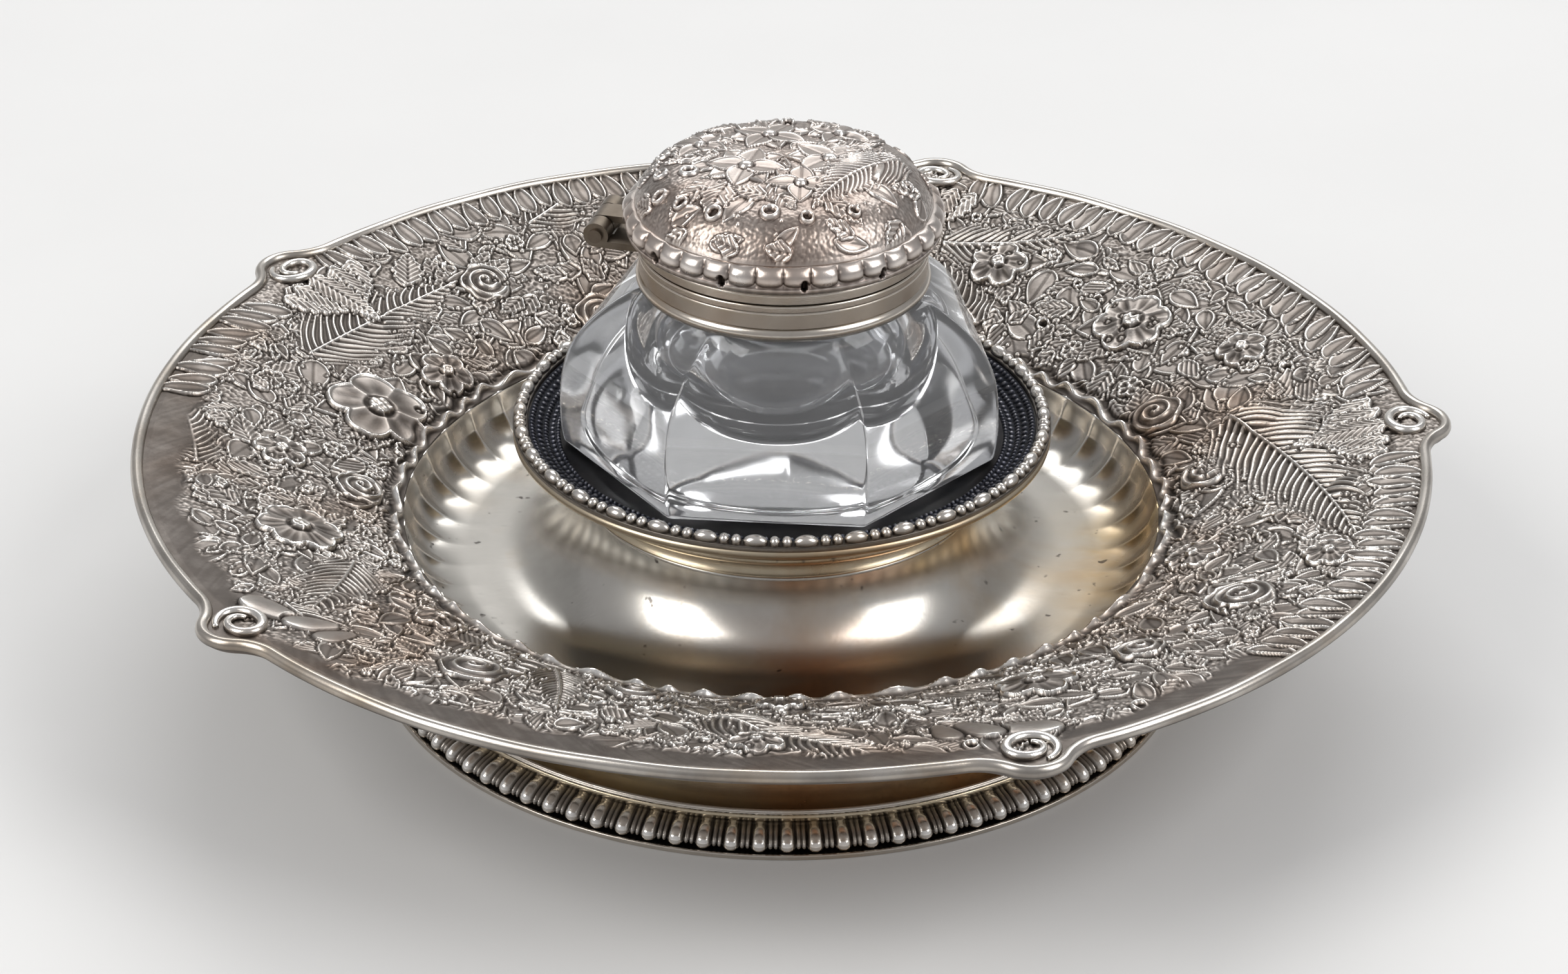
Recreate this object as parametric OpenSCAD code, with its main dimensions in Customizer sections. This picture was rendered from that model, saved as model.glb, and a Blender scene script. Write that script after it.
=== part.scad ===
// Desk inkstand: a chased round tray on a gadrooned foot, with a panel-cut glass well in a beaded
// gallery at its centre and a domed, hinged lid on the well.
// Origin at the centre of the foot's base plane, +Z up, +Y away from the front, millimetres.

/* [Tray] */
// Radius of the rim's circle between its scroll points
rim_r = 102; // [98:0.1:110]
// Height of the top of the rim wire above the table
rim_h = 39.2; // [36:0.1:44]
// Thickness of the tray's sheet
sheet_t = 1.2; // [0.9:0.1:1.5]
// Width of the flat lip that carries the rim wire
lip_w = 3; // [2.4:0.1:4]
// Radius of the edge where the chased border drops into the well
well_edge_r = 60; // [58:0.1:62]
// How far the chased border bulges over a straight slope
border_bulge = 1.5; // [0.5:0.1:2.5]
// Height of the well's floor
well_h = 16.2; // [15:0.1:17]
// Height of the well's edge above its floor
well_edge_rise = 8.5; // [8:0.1:9.8]
// Radius of the cove that rises from the floor to the well's edge
cove_r = 9.6; // [9:0.1:10.5]
// Width of the well's flat floor
floor_w = 5.2; // [3:0.1:6]
// Extra thickness behind the flutes
flute_back = 0.8; // [0.5:0.1:1.2]
// Number of flutes in the cove
flutes = 48; // [36:1:52]
// Radius of the ball that hollows a flute
flute_r = 9; // [8.6:0.1:9.4]
// Depth of a flute at its two ends
flute_d = 0.2; // [0.1:0.05:0.3]
// How far the flat top of the centre boss stands in from the moulding under the gallery
boss_step = 4.5; // [4:0.1:5.5]
// Height of the centre boss
boss_h = 29; // [27:0.1:30]

/* [Chased flowers and leaves of the border] */
// Height of the raised work over the border
chased_d = 0.8; // [0.4:0.05:1]
// Width of the largest flower
chased_w = 15; // [13:0.5:15.5]
// How far the foot of a raised form runs out under the border's face
chased_lap = 0.5; // [0.3:0.1:0.8]

/* [Scroll points of the rim] */
// Number of scroll points
points = 5; // [3:1:8]
// Angle of the first point, from +X
points_turn = 2.3; // [0:0.1:71]
// How far a point stands out from the rim's circle
point_out = 4.4; // [3:0.1:6]
// Radius of a point's tip
point_r = 6.5; // [6:0.1:8]
// Radius of the hollow that blends a point into the rim
point_blend_r = 8; // [4:0.1:14]
// Width of the rim wire
rim_wire_w = 2; // [1.4:0.1:2.2]
// Height of the rim wire's broad foot
rim_wire_side = 0.9; // [0.6:0.1:1.2]
// Height of the narrow top of the rim wire
rim_wire_round = 0.5; // [0.3:0.1:0.8]
// Radius of a cast scroll's section
scroll_wire_r = 1.3; // [0.8:0.1:1.5]
// Radius of the ball that ends a scroll
scroll_ball_r = 1.7; // [1:0.1:1.8]

/* [Foot] */
// How far the foot stands out beyond the skirt's flange
foot_step = 3.8; // [3.4:0.1:4.6]
// Thickness of the flat ring that the foot stands on
base_ring_h = 0.9; // [0.6:0.1:1.4]
// How far that ring reaches in past the skirt's flange
base_ring_lap = 0.2; // [0.1:0.1:1]
// Height of the band of gadroons
gadroon_h = 3.7; // [3.2:0.1:5]
// Number of gadroons
gadroons = 96; // [60:1:100]
// Share of the room between two gadroons that one fills
gadroon_fill = 0.645; // [0.5:0.005:0.7]
// Radius of a gadroon's upper end, as a share of its lower end's
gadroon_taper = 0.7; // [0.6:0.05:0.8]
// How far the band of gadroons leans in over its height
gadroon_lean = 2.6; // [1.5:0.1:3]
// Thickness of the foot's spun skirt
skirt_t = 1; // [0.7:0.1:1.3]
// Width of the flange under the skirt
flange_w = 1.4; // [1:0.1:2]
// Width and height of the bevelled fillet over the gadroons
fillet_w = 0.8; // [0.6:0.1:1]

/* [Stand and gallery] */
// Thickness of the stand's and the gallery's sheet
stand_t = 1.2; // [0.9:0.1:1.5]
// Height of the stand's hollow spool
spool_h = 4.2; // [3:0.1:5]
// Radius of the spool's hollow side
spool_cove_r = 3; // [2:0.1:4]
// How far the reeded moulding under the gallery stands in from the seat's edge
moulding_step = 0.4; // [0.2:0.1:1]
// Radius of each of the moulding's two reeds
reed_r = 0.8; // [0.6:0.05:0.9]
// Room on the gallery's flat seat round the foot of the glass
seat_play = 1.9; // [1.6:0.1:2.6]
// Width of the sloping stamped band, seen from above
stamped_w = 3.7; // [3:0.1:4.5]
// Height of the gallery's lip above its seat
gallery_rise = 1.9; // [1.4:0.1:2.6]
// Width of the band that carries the beads
bead_band_w = 2.3; // [2.2:0.1:2.6]
// Height of that band
bead_band_h = 1.1; // [1.1:0.1:1.5]
// Radius of the long beads
bead_r = 1.05; // [0.8:0.05:1.1]
// Radius of the round beads
round_bead_r = 0.85; // [0.7:0.05:0.9]
// Angle from the middle between two long beads to each round one
round_bead_turn = 1.3; // [1.25:0.05:1.5]
// How far the beads' middles stand over their band
bead_lift = 0.15; // [0.1:0.05:0.3]
// Length of a long bead over its ends
long_bead_l = 3.6; // [3:0.1:3.8]
// Number of long beads, each followed by two round ones
bead_groups = 34; // [28:1:35]
// Thickness of the stamped band
band_t = 0.7; // [0.5:0.1:1]

/* [Glass well] */
// Number of cut panels
panels = 7; // [6:1:9]
// Angle of the first edge between panels, from +X
panel_turn = -68.5; // [-90:0.5:0]
// Distance from the axis to the middle of a panel, at the widest
panel_r = 31.7; // [30.5:0.1:32.5]
// How far the shoulder stands in from the widest place
shoulder_in = 11; // [10:0.1:12]
// Height of the widest place above the glass's base
panel_belly_h = 5.6; // [4:0.1:8]
// Height of the shoulder above the glass's base
shoulder_h = 26.1; // [24.5:0.1:27]
// Bevel on the corners of the glass's base
base_bevel = 0.6; // [0.3:0.1:1.2]
// Radius of the shallow hollow under the glass
punt_r = 24; // [18:0.5:27]
// Depth of that hollow
punt_d = 0.6; // [0.3:0.1:1]
// Width of the glass shoulder round the neck
shoulder_w = 1.4; // [1.2:0.1:2]
// Height of the neck above the shoulder
neck_h = 6; // [5:0.1:7]
// Thickness of the glass neck
neck_wall = 3.1; // [2.5:0.1:5]
// Thickness of glass between the ink cavity and the middle of a panel
glass_side = 10.2; // [9:0.1:13]
// Radius of the rounding of the cavity's side
cavity_round_r = 9; // [6:0.1:10]
// Thickness of glass under the ink
glass_floor = 6.6; // [5:0.1:9]

/* [Collar] */
// Room for the plaster bedding between the glass neck and the collar
bedding_w = 1.1; // [0.8:0.1:1.5]
// Wall of the collar
collar_t = 2; // [1.4:0.1:2.2]
// Height of the plain collar
collar_h = 3.8; // [3.4:0.1:5]
// Radius of the rolled ring's section
roll_r = 1.15; // [0.8:0.05:1.3]
// How far the ring's section stands in from the collar's face
roll_in = 0.7; // [0.4:0.1:1]
// Play between the plaster bedding and what it beds
cement_gap = 0.05; // [0.03:0.01:0.1]

/* [Lid] */
// Wall of the lid's band
lid_band_t = 1.4; // [1:0.1:1.6]
// Height of the lid's band
lid_band_h = 2.4; // [2.2:0.1:4]
// How far the lid's lobed border stands out over its band
lid_out = 2.6; // [2:0.1:3.2]
// Height of the lobed border
lid_border_h = 3.8; // [3:0.1:4.5]
// Height of the dome above the border
dome_h = 8; // [6:0.1:10]
// How far the dome's foot stands in from the edge of the border
dome_step = 1.6; // [1.2:0.1:2.2]
// Radius of the rounding between the dome's side and its top
dome_round_r = 9; // [7:0.1:11]
// Radius of the dome's nearly flat top
dome_top_r = 90; // [60:1:140]
// Thickness of the lid's sheet
lid_t = 1.2; // [0.9:0.1:1.5]
// Number of lobes round the border
lobes = 36; // [24:1:44]
// Width of the ledge inside the lid's border that rests on the band
border_lap = 0.5; // [0.3:0.1:1]
// Radius of the notch between two lobes
lobe_notch_r = 0.7; // [0.4:0.05:0.9]
// Number of punched marks round the border
punches = 12; // [6:1:18]
// Radius of a punched mark
punch_r = 0.45; // [0.3:0.05:0.6]
// Height of a punched mark between its round ends
punch_l = 1; // [0.6:0.1:1.4]
// Thickness of the lid's inner plate
lining_t = 0.9; // [0.6:0.1:1.2]

/* [Hinge] */
// Direction of the hinge, seen from above, from +X
hinge_turn = 166; // [150:1:200]
// Distance from the lid's edge to the hinge pin
hinge_out = 3.6; // [3.2:0.1:5]
// Radius of a knuckle
knuckle_r = 2; // [1.7:0.05:2.1]
// Length of the whole hinge
hinge_l = 11; // [9:0.5:14]
// Length of the middle knuckle
mid_knuckle_l = 4.4; // [3.5:0.1:5]
// Thickness of a hinge leaf
leaf_t = 1.1; // [0.8:0.1:1.2]
// Radius of the hinge pin
pin_r = 0.8; // [0.6:0.05:1]
// Radius of the pin's heads
pin_head_r = 1.1; // [1:0.05:1.4]
// Length of a pin's head
pin_head_l = 0.6; // [0.4:0.1:1]

/* [Fits] */
// Play between the glass and its seat, and between the lid and the collar
rest_gap = 0.3; // [0.25:0.05:0.4]
// Room between a cast scroll and the rim wire
scroll_gap = 0.3; // [0.25:0.05:0.5]
// Play between pieces that are soldered on a curve
solder_gap = 0.05; // [0.03:0.01:0.1]
// Play between the pin and its knuckles, on the radius
pin_play = 0.04; // [0.02:0.01:0.08]
// Play between knuckles along the pin, and round a knuckle
knuckle_play = 0.25; // [0.2:0.05:0.4]

/* [Hidden] */
$fn = 96;
eps = 0.01;

// Directions where the cove's face and its back end, and how far cores and cutters pass faces
cove_end_turn = 28;
cove_back_turn = 40;
core_sink = 0.5;
face_pass = 1;
notch_pass = 0.2;
punch_d = 0.7;

// Radii that follow from the sizes above, from the glass outwards
shoulder_rise = shoulder_h - panel_belly_h;
panel_curve_r = (pow(shoulder_in, 2) + pow(shoulder_rise, 2)) / (2 * shoulder_in);
panel_mid_r = panel_r - panel_curve_r;
function panel_at(z) = panel_mid_r + sqrt(pow(panel_curve_r, 2) - pow(z - panel_belly_h, 2));
base_ridge_r = panel_at(0) / cos(180 / panels);
neck_r = panel_at(shoulder_h) - shoulder_w;
mouth_r = neck_r - neck_wall;
cavity_r = panel_r - glass_side;
collar_in_r = neck_r + bedding_w;
collar_r = collar_in_r + collar_t;
lid_r = collar_r + lid_out;
lid_cap_in_r = collar_r - lid_band_t - border_lap;
dome_r = lid_r - dome_step;
hinge_r = lid_r + hinge_out;
seat_r = base_ridge_r + seat_play;
gallery_lip_in_r = seat_r + stamped_w;
gallery_r = gallery_lip_in_r + bead_band_w;
bead_line_r = gallery_r - bead_band_w / 2;
moulding_r = seat_r - moulding_step;
boss_r = moulding_r - boss_step;
spool_low_r = boss_r - core_sink;

// Heights and radii of the tray and of its foot
lip_h = rim_h - rim_wire_side - rim_wire_round;
lip_in_r = rim_r - lip_w;
point_reach = rim_r + point_out;
tip_at = point_reach - point_r;
scroll_r = point_r - rim_wire_w - scroll_gap - scroll_ball_r;
well_edge_h = well_h + well_edge_rise;
well_out_r = well_edge_r - cove_r;
well_in_r = well_out_r - floor_w;
well_under_h = well_h - sheet_t;
foot_top_h = base_ring_h + gadroon_h;
flange_h = foot_top_h + skirt_t;
skirt_curve_r = well_under_h - flange_h;
skirt_top_r = well_out_r + core_sink;
skirt_foot_r = skirt_top_r + skirt_curve_r;
flange_r = skirt_foot_r + flange_w;
foot_r = flange_r + foot_step;
ring_in_r = skirt_foot_r - base_ring_lap;
gadroon_low_r = gadroon_fill * PI * foot_r / gadroons;
gadroon_top_r = gadroon_taper * gadroon_low_r;

// Heights of the stand, the glass and the lid
spool_top_h = boss_h + spool_h;
gallery_foot_h = spool_top_h + 4 * reed_r;
seat_h = gallery_foot_h + stand_t;
gallery_lip_h = seat_h + gallery_rise;
glass_h = seat_h + rest_gap;
shoulder_z = glass_h + shoulder_h;
collar_low_h = shoulder_z + rest_gap + 2 * roll_r;
parting_h = collar_low_h + collar_h;
lid_low_h = parting_h + rest_gap;
border_h = lid_low_h + lid_band_h;
dome_low_h = border_h + lid_border_h;
pin_h = parting_h + rest_gap / 2;
pin_bore_r = pin_r + pin_play;

// Surface of the chased border, from the well's edge to the flat lip
function border_at(t) = [well_edge_r + t * (lip_in_r - well_edge_r),
    well_edge_h + t * (lip_h - well_edge_h) + 4 * border_bulge * t * (1 - t)];
// How steeply the border rises there
function border_lean(t) = let (d = border_at(t + eps) - border_at(t - eps)) atan2(d[1], d[0]);
// Flowers and leaves: share of the way out from the well's edge, direction, share of the full width
chased = [[0.24, 162, 1], [0.18, 147, 0.55], [0.16, 22, 0.55], [0.56, 327, 0.75], [0.2, 3, 0.55],
    [0.44, 40, 0.85], [0.62, 25, 0.55], [0.42, 100, 0.9], [0.18, 118, 0.55], [0.2, 80, 0.55],
    [0.46, 198, 0.85], [0.18, 183, 0.55], [0.5, 236, 0.75], [0.2, 221, 0.55], [0.42, 299, 0.8],
    [0.18, 270, 0.55], [0.5, 62, 0.7], [0.2, 340, 0.6], [0.2, 60, 0.5],
    [0.22, 252, 0.6], [0.46, 144, 0.6],
    [0.5, 130, 0.65], [0.5, 116, 0.6], [0.46, 80, 0.65], [0.46, 12, 0.65], [0.5, 345, 0.7],
    [0.48, 312, 0.6], [0.46, 282, 0.65], [0.5, 266, 0.65], [0.52, 253, 0.5], [0.5, 217, 0.6],
    [0.5, 180, 0.6], [0.77, 14, 0.6], [0.77, 52, 0.65], [0.77, 88, 0.6], [0.77, 106, 0.65],
    [0.77, 124, 0.6], [0.77, 160, 0.6], [0.77, 176, 0.6], [0.77, 191, 0.6], [0.77, 207, 0.55],
    [0.77, 233, 0.55], [0.77, 250, 0.6], [0.77, 268, 0.6], [0.77, 306, 0.6], [0.77, 322, 0.55],
    [0.77, 337, 0.6], [0.77, 351, 0.55]];
// Points on a circle from one angle to another
function arc(centre, r, from, to, n) = [for (i = [0 : n])
    let (a = from + (to - from) * i / n) centre + r * [cos(a), sin(a)]];
// Unit vector at right angles to the left of a line
function left_of(a, b) = let (d = b - a) [-d[1], d[0]] / norm(d);
// A line of points moved sideways by a distance, to the left as it runs
function beside(p, d) = [for (i = [0 : len(p) - 1])
    let (n = i == 0 ? left_of(p[0], p[1])
        : i == len(p) - 1 ? left_of(p[i - 1], p[i])
        : left_of(p[i - 1], p[i + 1])) p[i] + d * n];

// The five-pointed outline of the rim, drawn in by a distance
module rim_outline(inset) {
    a = blend_turn();
    blend_at = (rim_r + point_blend_r) * [cos(a), sin(a)];
    circle(r = rim_r - inset, $fn = 360);
    for (i = [0 : points - 1])
        rotate(points_turn + i * 360 / points) {
            translate([tip_at, 0]) circle(r = point_r - inset);
            for (s = [-1, 1])
                difference() {
                    polygon([[0, 0], [blend_at[0], s * blend_at[1]], [tip_at, 0]]);
                    translate([blend_at[0], s * blend_at[1]]) circle(r = point_blend_r + inset);
                }
        }
}
// Angle at the axis between a point's middle and the centre of its blend
function blend_turn() = let (a = rim_r + point_blend_r, b = tip_at, c = point_r + point_blend_r)
    acos((a * a + b * b - c * c) / (2 * a * b));

// Upper face of the tray's boss, as a line from the flat top down to the well's floor
function boss_line() = let (n = 8, run = well_in_r - boss_r, drop = boss_h - well_h)
    [for (i = [0 : n]) let (a = 90 * i / n)
        [boss_r + run * (1 - cos(a)), boss_h - drop * sin(a)]];

module tray_section() {
    border = [for (i = [0 : 6]) border_at(i / 6)];
    cove_mid = [well_out_r, well_h + cove_r];
    cove_back_r = cove_r + sheet_t + flute_back;
    seat_turn = -asin((cove_mid[1] - well_under_h) / cove_back_r);
    boss = boss_line();
    line = concat(boss, arc(cove_mid, cove_r, -90, -cove_end_turn, 5));
    under_line = beside(line, -sheet_t);
    under_border = beside(border, -sheet_t);
    polygon(concat([[0, boss_h]], line, border, [[lip_in_r, lip_h - sheet_t]],
        [for (i = [len(border) - 2 : -1 : 1]) under_border[i]],
        [[well_edge_r + sheet_t, well_edge_h - sheet_t - flute_back]],
        arc(cove_mid, cove_back_r, -cove_back_turn, seat_turn, 3),
        [for (i = [len(boss) : -1 : 1]) under_line[i]],
        [[boss_r - sheet_t, boss_h - sheet_t], [0, boss_h - sheet_t]]));
}

// One raised flower or leaf, as a low dome whose foot runs out inside the sheet
module raised(width) {
    ball_r = (pow(width / 2, 2) + pow(chased_d, 2)) / (2 * chased_d);
    intersection() {
        translate([0, 0, chased_d - ball_r]) sphere(r = ball_r);
        translate([0, 0, -sheet_t / 2])
            cylinder(r = width / 2 + chased_lap, h = sheet_t / 2 + 2 * chased_d);
    }
}

// One flute's hollow, from the well's floor to its edge
module flute() {
    translate([well_edge_r + flute_d - flute_r, 0, well_h + flute_r - flute_d]) sphere(r = flute_r);
}

module tray_dish() {
    color([0.66, 0.63, 0.6]) {
        difference() {
            rotate_extrude($fn = 180) tray_section();
            for (i = [0 : flutes - 1])
                rotate((i + 0.5) * 360 / flutes) flute();
        }
        for (c = chased)
            rotate(c[1])
                translate([border_at(c[0])[0], 0, border_at(c[0])[1]])
                    rotate([0, -border_lean(c[0]), 0]) raised(c[2] * chased_w);
        translate([0, 0, lip_h - sheet_t])
            linear_extrude(height = sheet_t)
                difference() {
                    rim_outline(0);
                    circle(r = lip_in_r, $fn = 180);
                }
    }
}

// A flat band that follows the rim's outline
module outline_band(inset, width, h) {
    linear_extrude(height = h)
        difference() {
            rim_outline(inset);
            rim_outline(inset + width);
        }
}

module tray_rim_wire() {
    color([0.8, 0.78, 0.75])
        translate([0, 0, lip_h]) {
            outline_band(0, rim_wire_w, rim_wire_side);
            translate([0, 0, rim_wire_side])
                outline_band(rim_wire_w / 4, rim_wire_w / 2, rim_wire_round);
        }
}

// One cast C-scroll lying on the lip, open towards the rim
module scroll() {
    open_turn = 50;
    translate([tip_at, 0, lip_h]) {
        rotate(open_turn)
            rotate_extrude(angle = 360 - 2 * open_turn, $fn = 64)
                intersection() {
                    translate([scroll_r, 0]) circle(r = scroll_wire_r, $fn = 32);
                    translate([scroll_r - scroll_wire_r, 0])
                        square([2 * scroll_wire_r, scroll_wire_r]);
                }
        for (s = [-1, 1])
            intersection() {
                rotate(s * open_turn) translate([scroll_r, 0, 0]) sphere(r = scroll_ball_r, $fn = 32);
                translate([-point_r, -point_r, 0]) cube(2 * point_r);
            }
    }
}

module rim_scrolls() {
    color([0.8, 0.78, 0.75])
        for (i = [0 : points - 1])
            rotate(points_turn + i * 360 / points) scroll();
}

module foot_skirt() {
    color([0.72, 0.66, 0.55])
        rotate_extrude($fn = 180) {
            intersection() {
                difference() {
                    translate([skirt_foot_r, well_under_h]) circle(r = skirt_curve_r + skirt_t);
                    translate([skirt_foot_r, well_under_h]) circle(r = skirt_curve_r);
                }
                translate([skirt_top_r - skirt_t, foot_top_h])
                    square([skirt_curve_r + skirt_t, skirt_curve_r + skirt_t]);
            }
            translate([skirt_foot_r - eps, foot_top_h]) square([flange_w + eps, skirt_t]);
        }
}

module foot_fillet_wire() {
    color([0.72, 0.66, 0.55])
        rotate_extrude($fn = 180)
            translate([flange_r - fillet_w, flange_h])
                polygon([[0, 0], [fillet_w, 0], [fillet_w, fillet_w / 2], [0.75 * fillet_w, fillet_w],
                    [0.25 * fillet_w, fillet_w], [0, fillet_w / 2]]);
}

// One gadroon: a drop with a full lower end, whose taper leans in and dies into the ring
module gadroon() {
    low = [foot_r - gadroon_low_r - base_ring_lap, base_ring_h + gadroon_low_r];
    top = [low[0] - gadroon_lean - gadroon_top_r, foot_top_h - gadroon_top_r];
    run = norm(top - low);
    lean = asin((gadroon_low_r - gadroon_top_r) / run);
    translate([low[0], 0, low[1]])
        rotate([0, -atan2(low[0] - top[0], top[1] - low[1]), 0]) {
            sphere(r = gadroon_low_r, $fn = 24);
            translate([0, 0, gadroon_low_r * sin(lean)])
                cylinder(r1 = gadroon_low_r * cos(lean), r2 = gadroon_top_r * cos(lean),
                    h = run - (gadroon_low_r - gadroon_top_r) * sin(lean), $fn = 24);
        }
}

module foot_gadroon_ring() {
    core_low_r = foot_r - gadroon_low_r - core_sink;
    color([0.62, 0.6, 0.58]) {
        rotate_extrude($fn = 180)
            polygon([[ring_in_r, base_ring_h], [core_low_r, base_ring_h],
                [core_low_r, base_ring_h + core_sink], [flange_r, foot_top_h],
                [ring_in_r, foot_top_h]]);
        for (i = [0 : gadroons - 1])
            rotate(i * 360 / gadroons) gadroon();
    }
}

module foot_base_ring() {
    color([0.7, 0.68, 0.65])
        rotate_extrude($fn = 180)
            translate([ring_in_r, 0]) square([foot_r - ring_in_r, base_ring_h]);
}

module stand_spool() {
    color([0.72, 0.66, 0.55])
        rotate_extrude($fn = 180)
            difference() {
                translate([spool_low_r - 2 * stand_t, boss_h])
                    square([2 * stand_t + spool_cove_r, spool_h]);
                translate([spool_low_r + spool_cove_r, boss_h + spool_h / 2]) circle(r = spool_cove_r);
            }
}

module stand_moulding() {
    line_r = moulding_r - reed_r;
    color([0.78, 0.7, 0.52])
        rotate_extrude($fn = 180) {
            translate([boss_r - 2 * stand_t, spool_top_h])
                square([line_r - boss_r + 2 * stand_t, 4 * reed_r]);
            for (k = [1, 3])
                translate([line_r, spool_top_h + k * reed_r]) circle(r = reed_r, $fn = 32);
        }
}

module gallery_cup() {
    color([0.72, 0.66, 0.55])
        rotate_extrude($fn = 180)
            polygon([[0, gallery_foot_h], [seat_r, gallery_foot_h],
                [gallery_lip_in_r, gallery_lip_h - stand_t], [gallery_r, gallery_lip_h - stand_t],
                [gallery_r, gallery_lip_h], [gallery_lip_in_r, gallery_lip_h],
                [seat_r, seat_h], [0, seat_h]]);
}

module gallery_band() {
    out_r = gallery_lip_in_r - solder_gap;
    slope = gallery_rise / (gallery_lip_in_r - seat_r);
    low = seat_h + solder_gap;
    color([0.16, 0.17, 0.2])
        rotate_extrude($fn = 180)
            polygon([[seat_r, low], [out_r, low + slope * (out_r - seat_r)],
                [out_r, low + slope * (out_r - seat_r) + band_t], [seat_r, low + band_t]]);
}

// A long bead and the two round ones that follow it, half sunk in the band
module bead_group() {
    pitch = 360 / bead_groups;
    rod_l = long_bead_l - 2 * bead_r;
    translate([bead_line_r, 0, 0])
        rotate([90, 0, 0])
            rotate_extrude($fn = 24)
                intersection() {
                    union() {
                        for (s = [-1, 1])
                            translate([0, s * rod_l / 2]) circle(r = bead_r, $fn = 24);
                        translate([0, -rod_l / 2]) square([bead_r, rod_l]);
                    }
                    translate([0, -long_bead_l]) square([bead_r, 2 * long_bead_l]);
                }
    for (s = [-1, 1])
        rotate(pitch / 2 + s * round_bead_turn)
            translate([bead_line_r, 0, 0]) sphere(r = round_bead_r, $fn = 24);
}

module gallery_bead_wire() {
    color([0.78, 0.75, 0.7]) {
        rotate_extrude($fn = 180)
            translate([gallery_r - bead_band_w, gallery_lip_h])
                square([bead_band_w, bead_band_h]);
        for (i = [0 : bead_groups - 1])
            rotate(i * 360 / bead_groups)
                translate([0, 0, gallery_lip_h + bead_band_h + bead_lift]) bead_group();
    }
}

// One panel's upright section: everything on the axis side of its curved face
module panel_section() {
    translate([-2 * panel_r, 0]) square([2 * panel_r, shoulder_h]);
    intersection() {
        translate([panel_mid_r, panel_belly_h]) circle(r = panel_curve_r, $fn = 128);
        square([2 * panel_r, shoulder_h]);
    }
}

module glass_body() {
    width = 4 * panel_r;
    intersection_for (i = [0 : panels - 1])
        rotate(panel_turn + (i + 0.5) * 360 / panels)
            rotate([90, 0, 0])
                translate([0, 0, -width / 2])
                    linear_extrude(height = width) panel_section();
}

module cavity_section() {
    low = glass_floor;
    mid = low + cavity_round_r;
    centre_r = cavity_r - cavity_round_r;
    intersection() {
        union() {
            translate([centre_r, mid]) circle(r = cavity_round_r);
            translate([0, low]) square([centre_r, 2 * cavity_round_r]);
            translate([0, mid]) square([mouth_r, shoulder_h + neck_h + face_pass - mid]);
        }
        translate([0, low - face_pass])
            square([cavity_r + face_pass, shoulder_h + neck_h + 2 * face_pass]);
    }
}

module glass_well() {
    color([0.85, 0.92, 0.95, 0.6])
        translate([0, 0, glass_h])
            difference() {
                union() {
                    glass_body();
                    translate([0, 0, shoulder_h - face_pass])
                        cylinder(r = neck_r, h = neck_h + face_pass);
                }
                rotate_extrude() cavity_section();
                translate([0, 0, -eps]) cylinder(r = punt_r, h = punt_d + eps);
                rotate_extrude()
                    polygon([[base_ridge_r - base_bevel, -eps],
                        [base_ridge_r + 4 * face_pass, -eps],
                        [base_ridge_r + 4 * face_pass, base_bevel + 4 * face_pass]]);
            }
}

module neck_cement() {
    color([0.9, 0.88, 0.82])
        translate([0, 0, shoulder_z + rest_gap])
            difference() {
                cylinder(r = collar_in_r - cement_gap, h = neck_h - 2 * rest_gap);
                translate([0, 0, -face_pass])
                    cylinder(r = neck_r + cement_gap, h = neck_h + 2 * face_pass);
            }
}

module collar_bead_ring() {
    line_r = collar_r - roll_in;
    low = shoulder_z + rest_gap;
    color([0.8, 0.77, 0.72])
        rotate_extrude($fn = 128) {
            translate([line_r, low + roll_r]) circle(r = roll_r, $fn = 32);
            translate([collar_in_r, low]) square([line_r - collar_in_r, 2 * roll_r]);
        }
}

module neck_collar() {
    color([0.74, 0.69, 0.62])
        rotate_extrude($fn = 128)
            translate([collar_in_r, collar_low_h]) square([collar_t, collar_h]);
}

// A knuckle along the pin, centred at a distance from the hinge's middle
module knuckle(l, at) {
    translate([hinge_r, at, pin_h])
        rotate([90, 0, 0])
            difference() {
                cylinder(r = knuckle_r, h = l, center = true, $fn = 48);
                cylinder(r = pin_bore_r, h = l + 2 * face_pass, center = true, $fn = 48);
            }
}

// Room kept round a knuckle of the other leaf
module knuckle_room(l, at) {
    translate([hinge_r, at, pin_h])
        rotate([90, 0, 0])
            cylinder(r = knuckle_r + knuckle_play, h = l + 2 * knuckle_play, center = true, $fn = 48);
}

module collar_hinge_leaf() {
    side_l = (hinge_l - mid_knuckle_l) / 2 - knuckle_play;
    side_at = (hinge_l - side_l) / 2;
    low = pin_h - knuckle_r;
    color([0.62, 0.55, 0.45])
        rotate(hinge_turn) {
            for (s = [-1, 1]) knuckle(side_l, s * side_at);
            difference() {
                translate([0, -hinge_l / 2, low]) cube([hinge_r, hinge_l, leaf_t]);
                translate([0, 0, low - face_pass])
                    cylinder(r = collar_r + solder_gap, h = leaf_t + 2 * face_pass, $fn = 128);
                knuckle_room(mid_knuckle_l, 0);
                for (s = [-1, 1])
                    translate([hinge_r, s * side_at, pin_h])
                        rotate([90, 0, 0])
                            cylinder(r = pin_bore_r, h = side_l + 2 * face_pass, center = true, $fn = 48);
            }
        }
}

module hinge_pin() {
    color([0.3, 0.28, 0.26])
        rotate(hinge_turn)
            translate([hinge_r, 0, pin_h])
                rotate([90, 0, 0]) {
                    cylinder(r = pin_r, h = hinge_l + pin_head_l, center = true, $fn = 48);
                    for (s = [-1, 1])
                        translate([0, 0, s * (hinge_l + pin_head_l) / 2])
                            cylinder(r = pin_head_r, h = pin_head_l, center = true, $fn = 48);
                }
}

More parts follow.
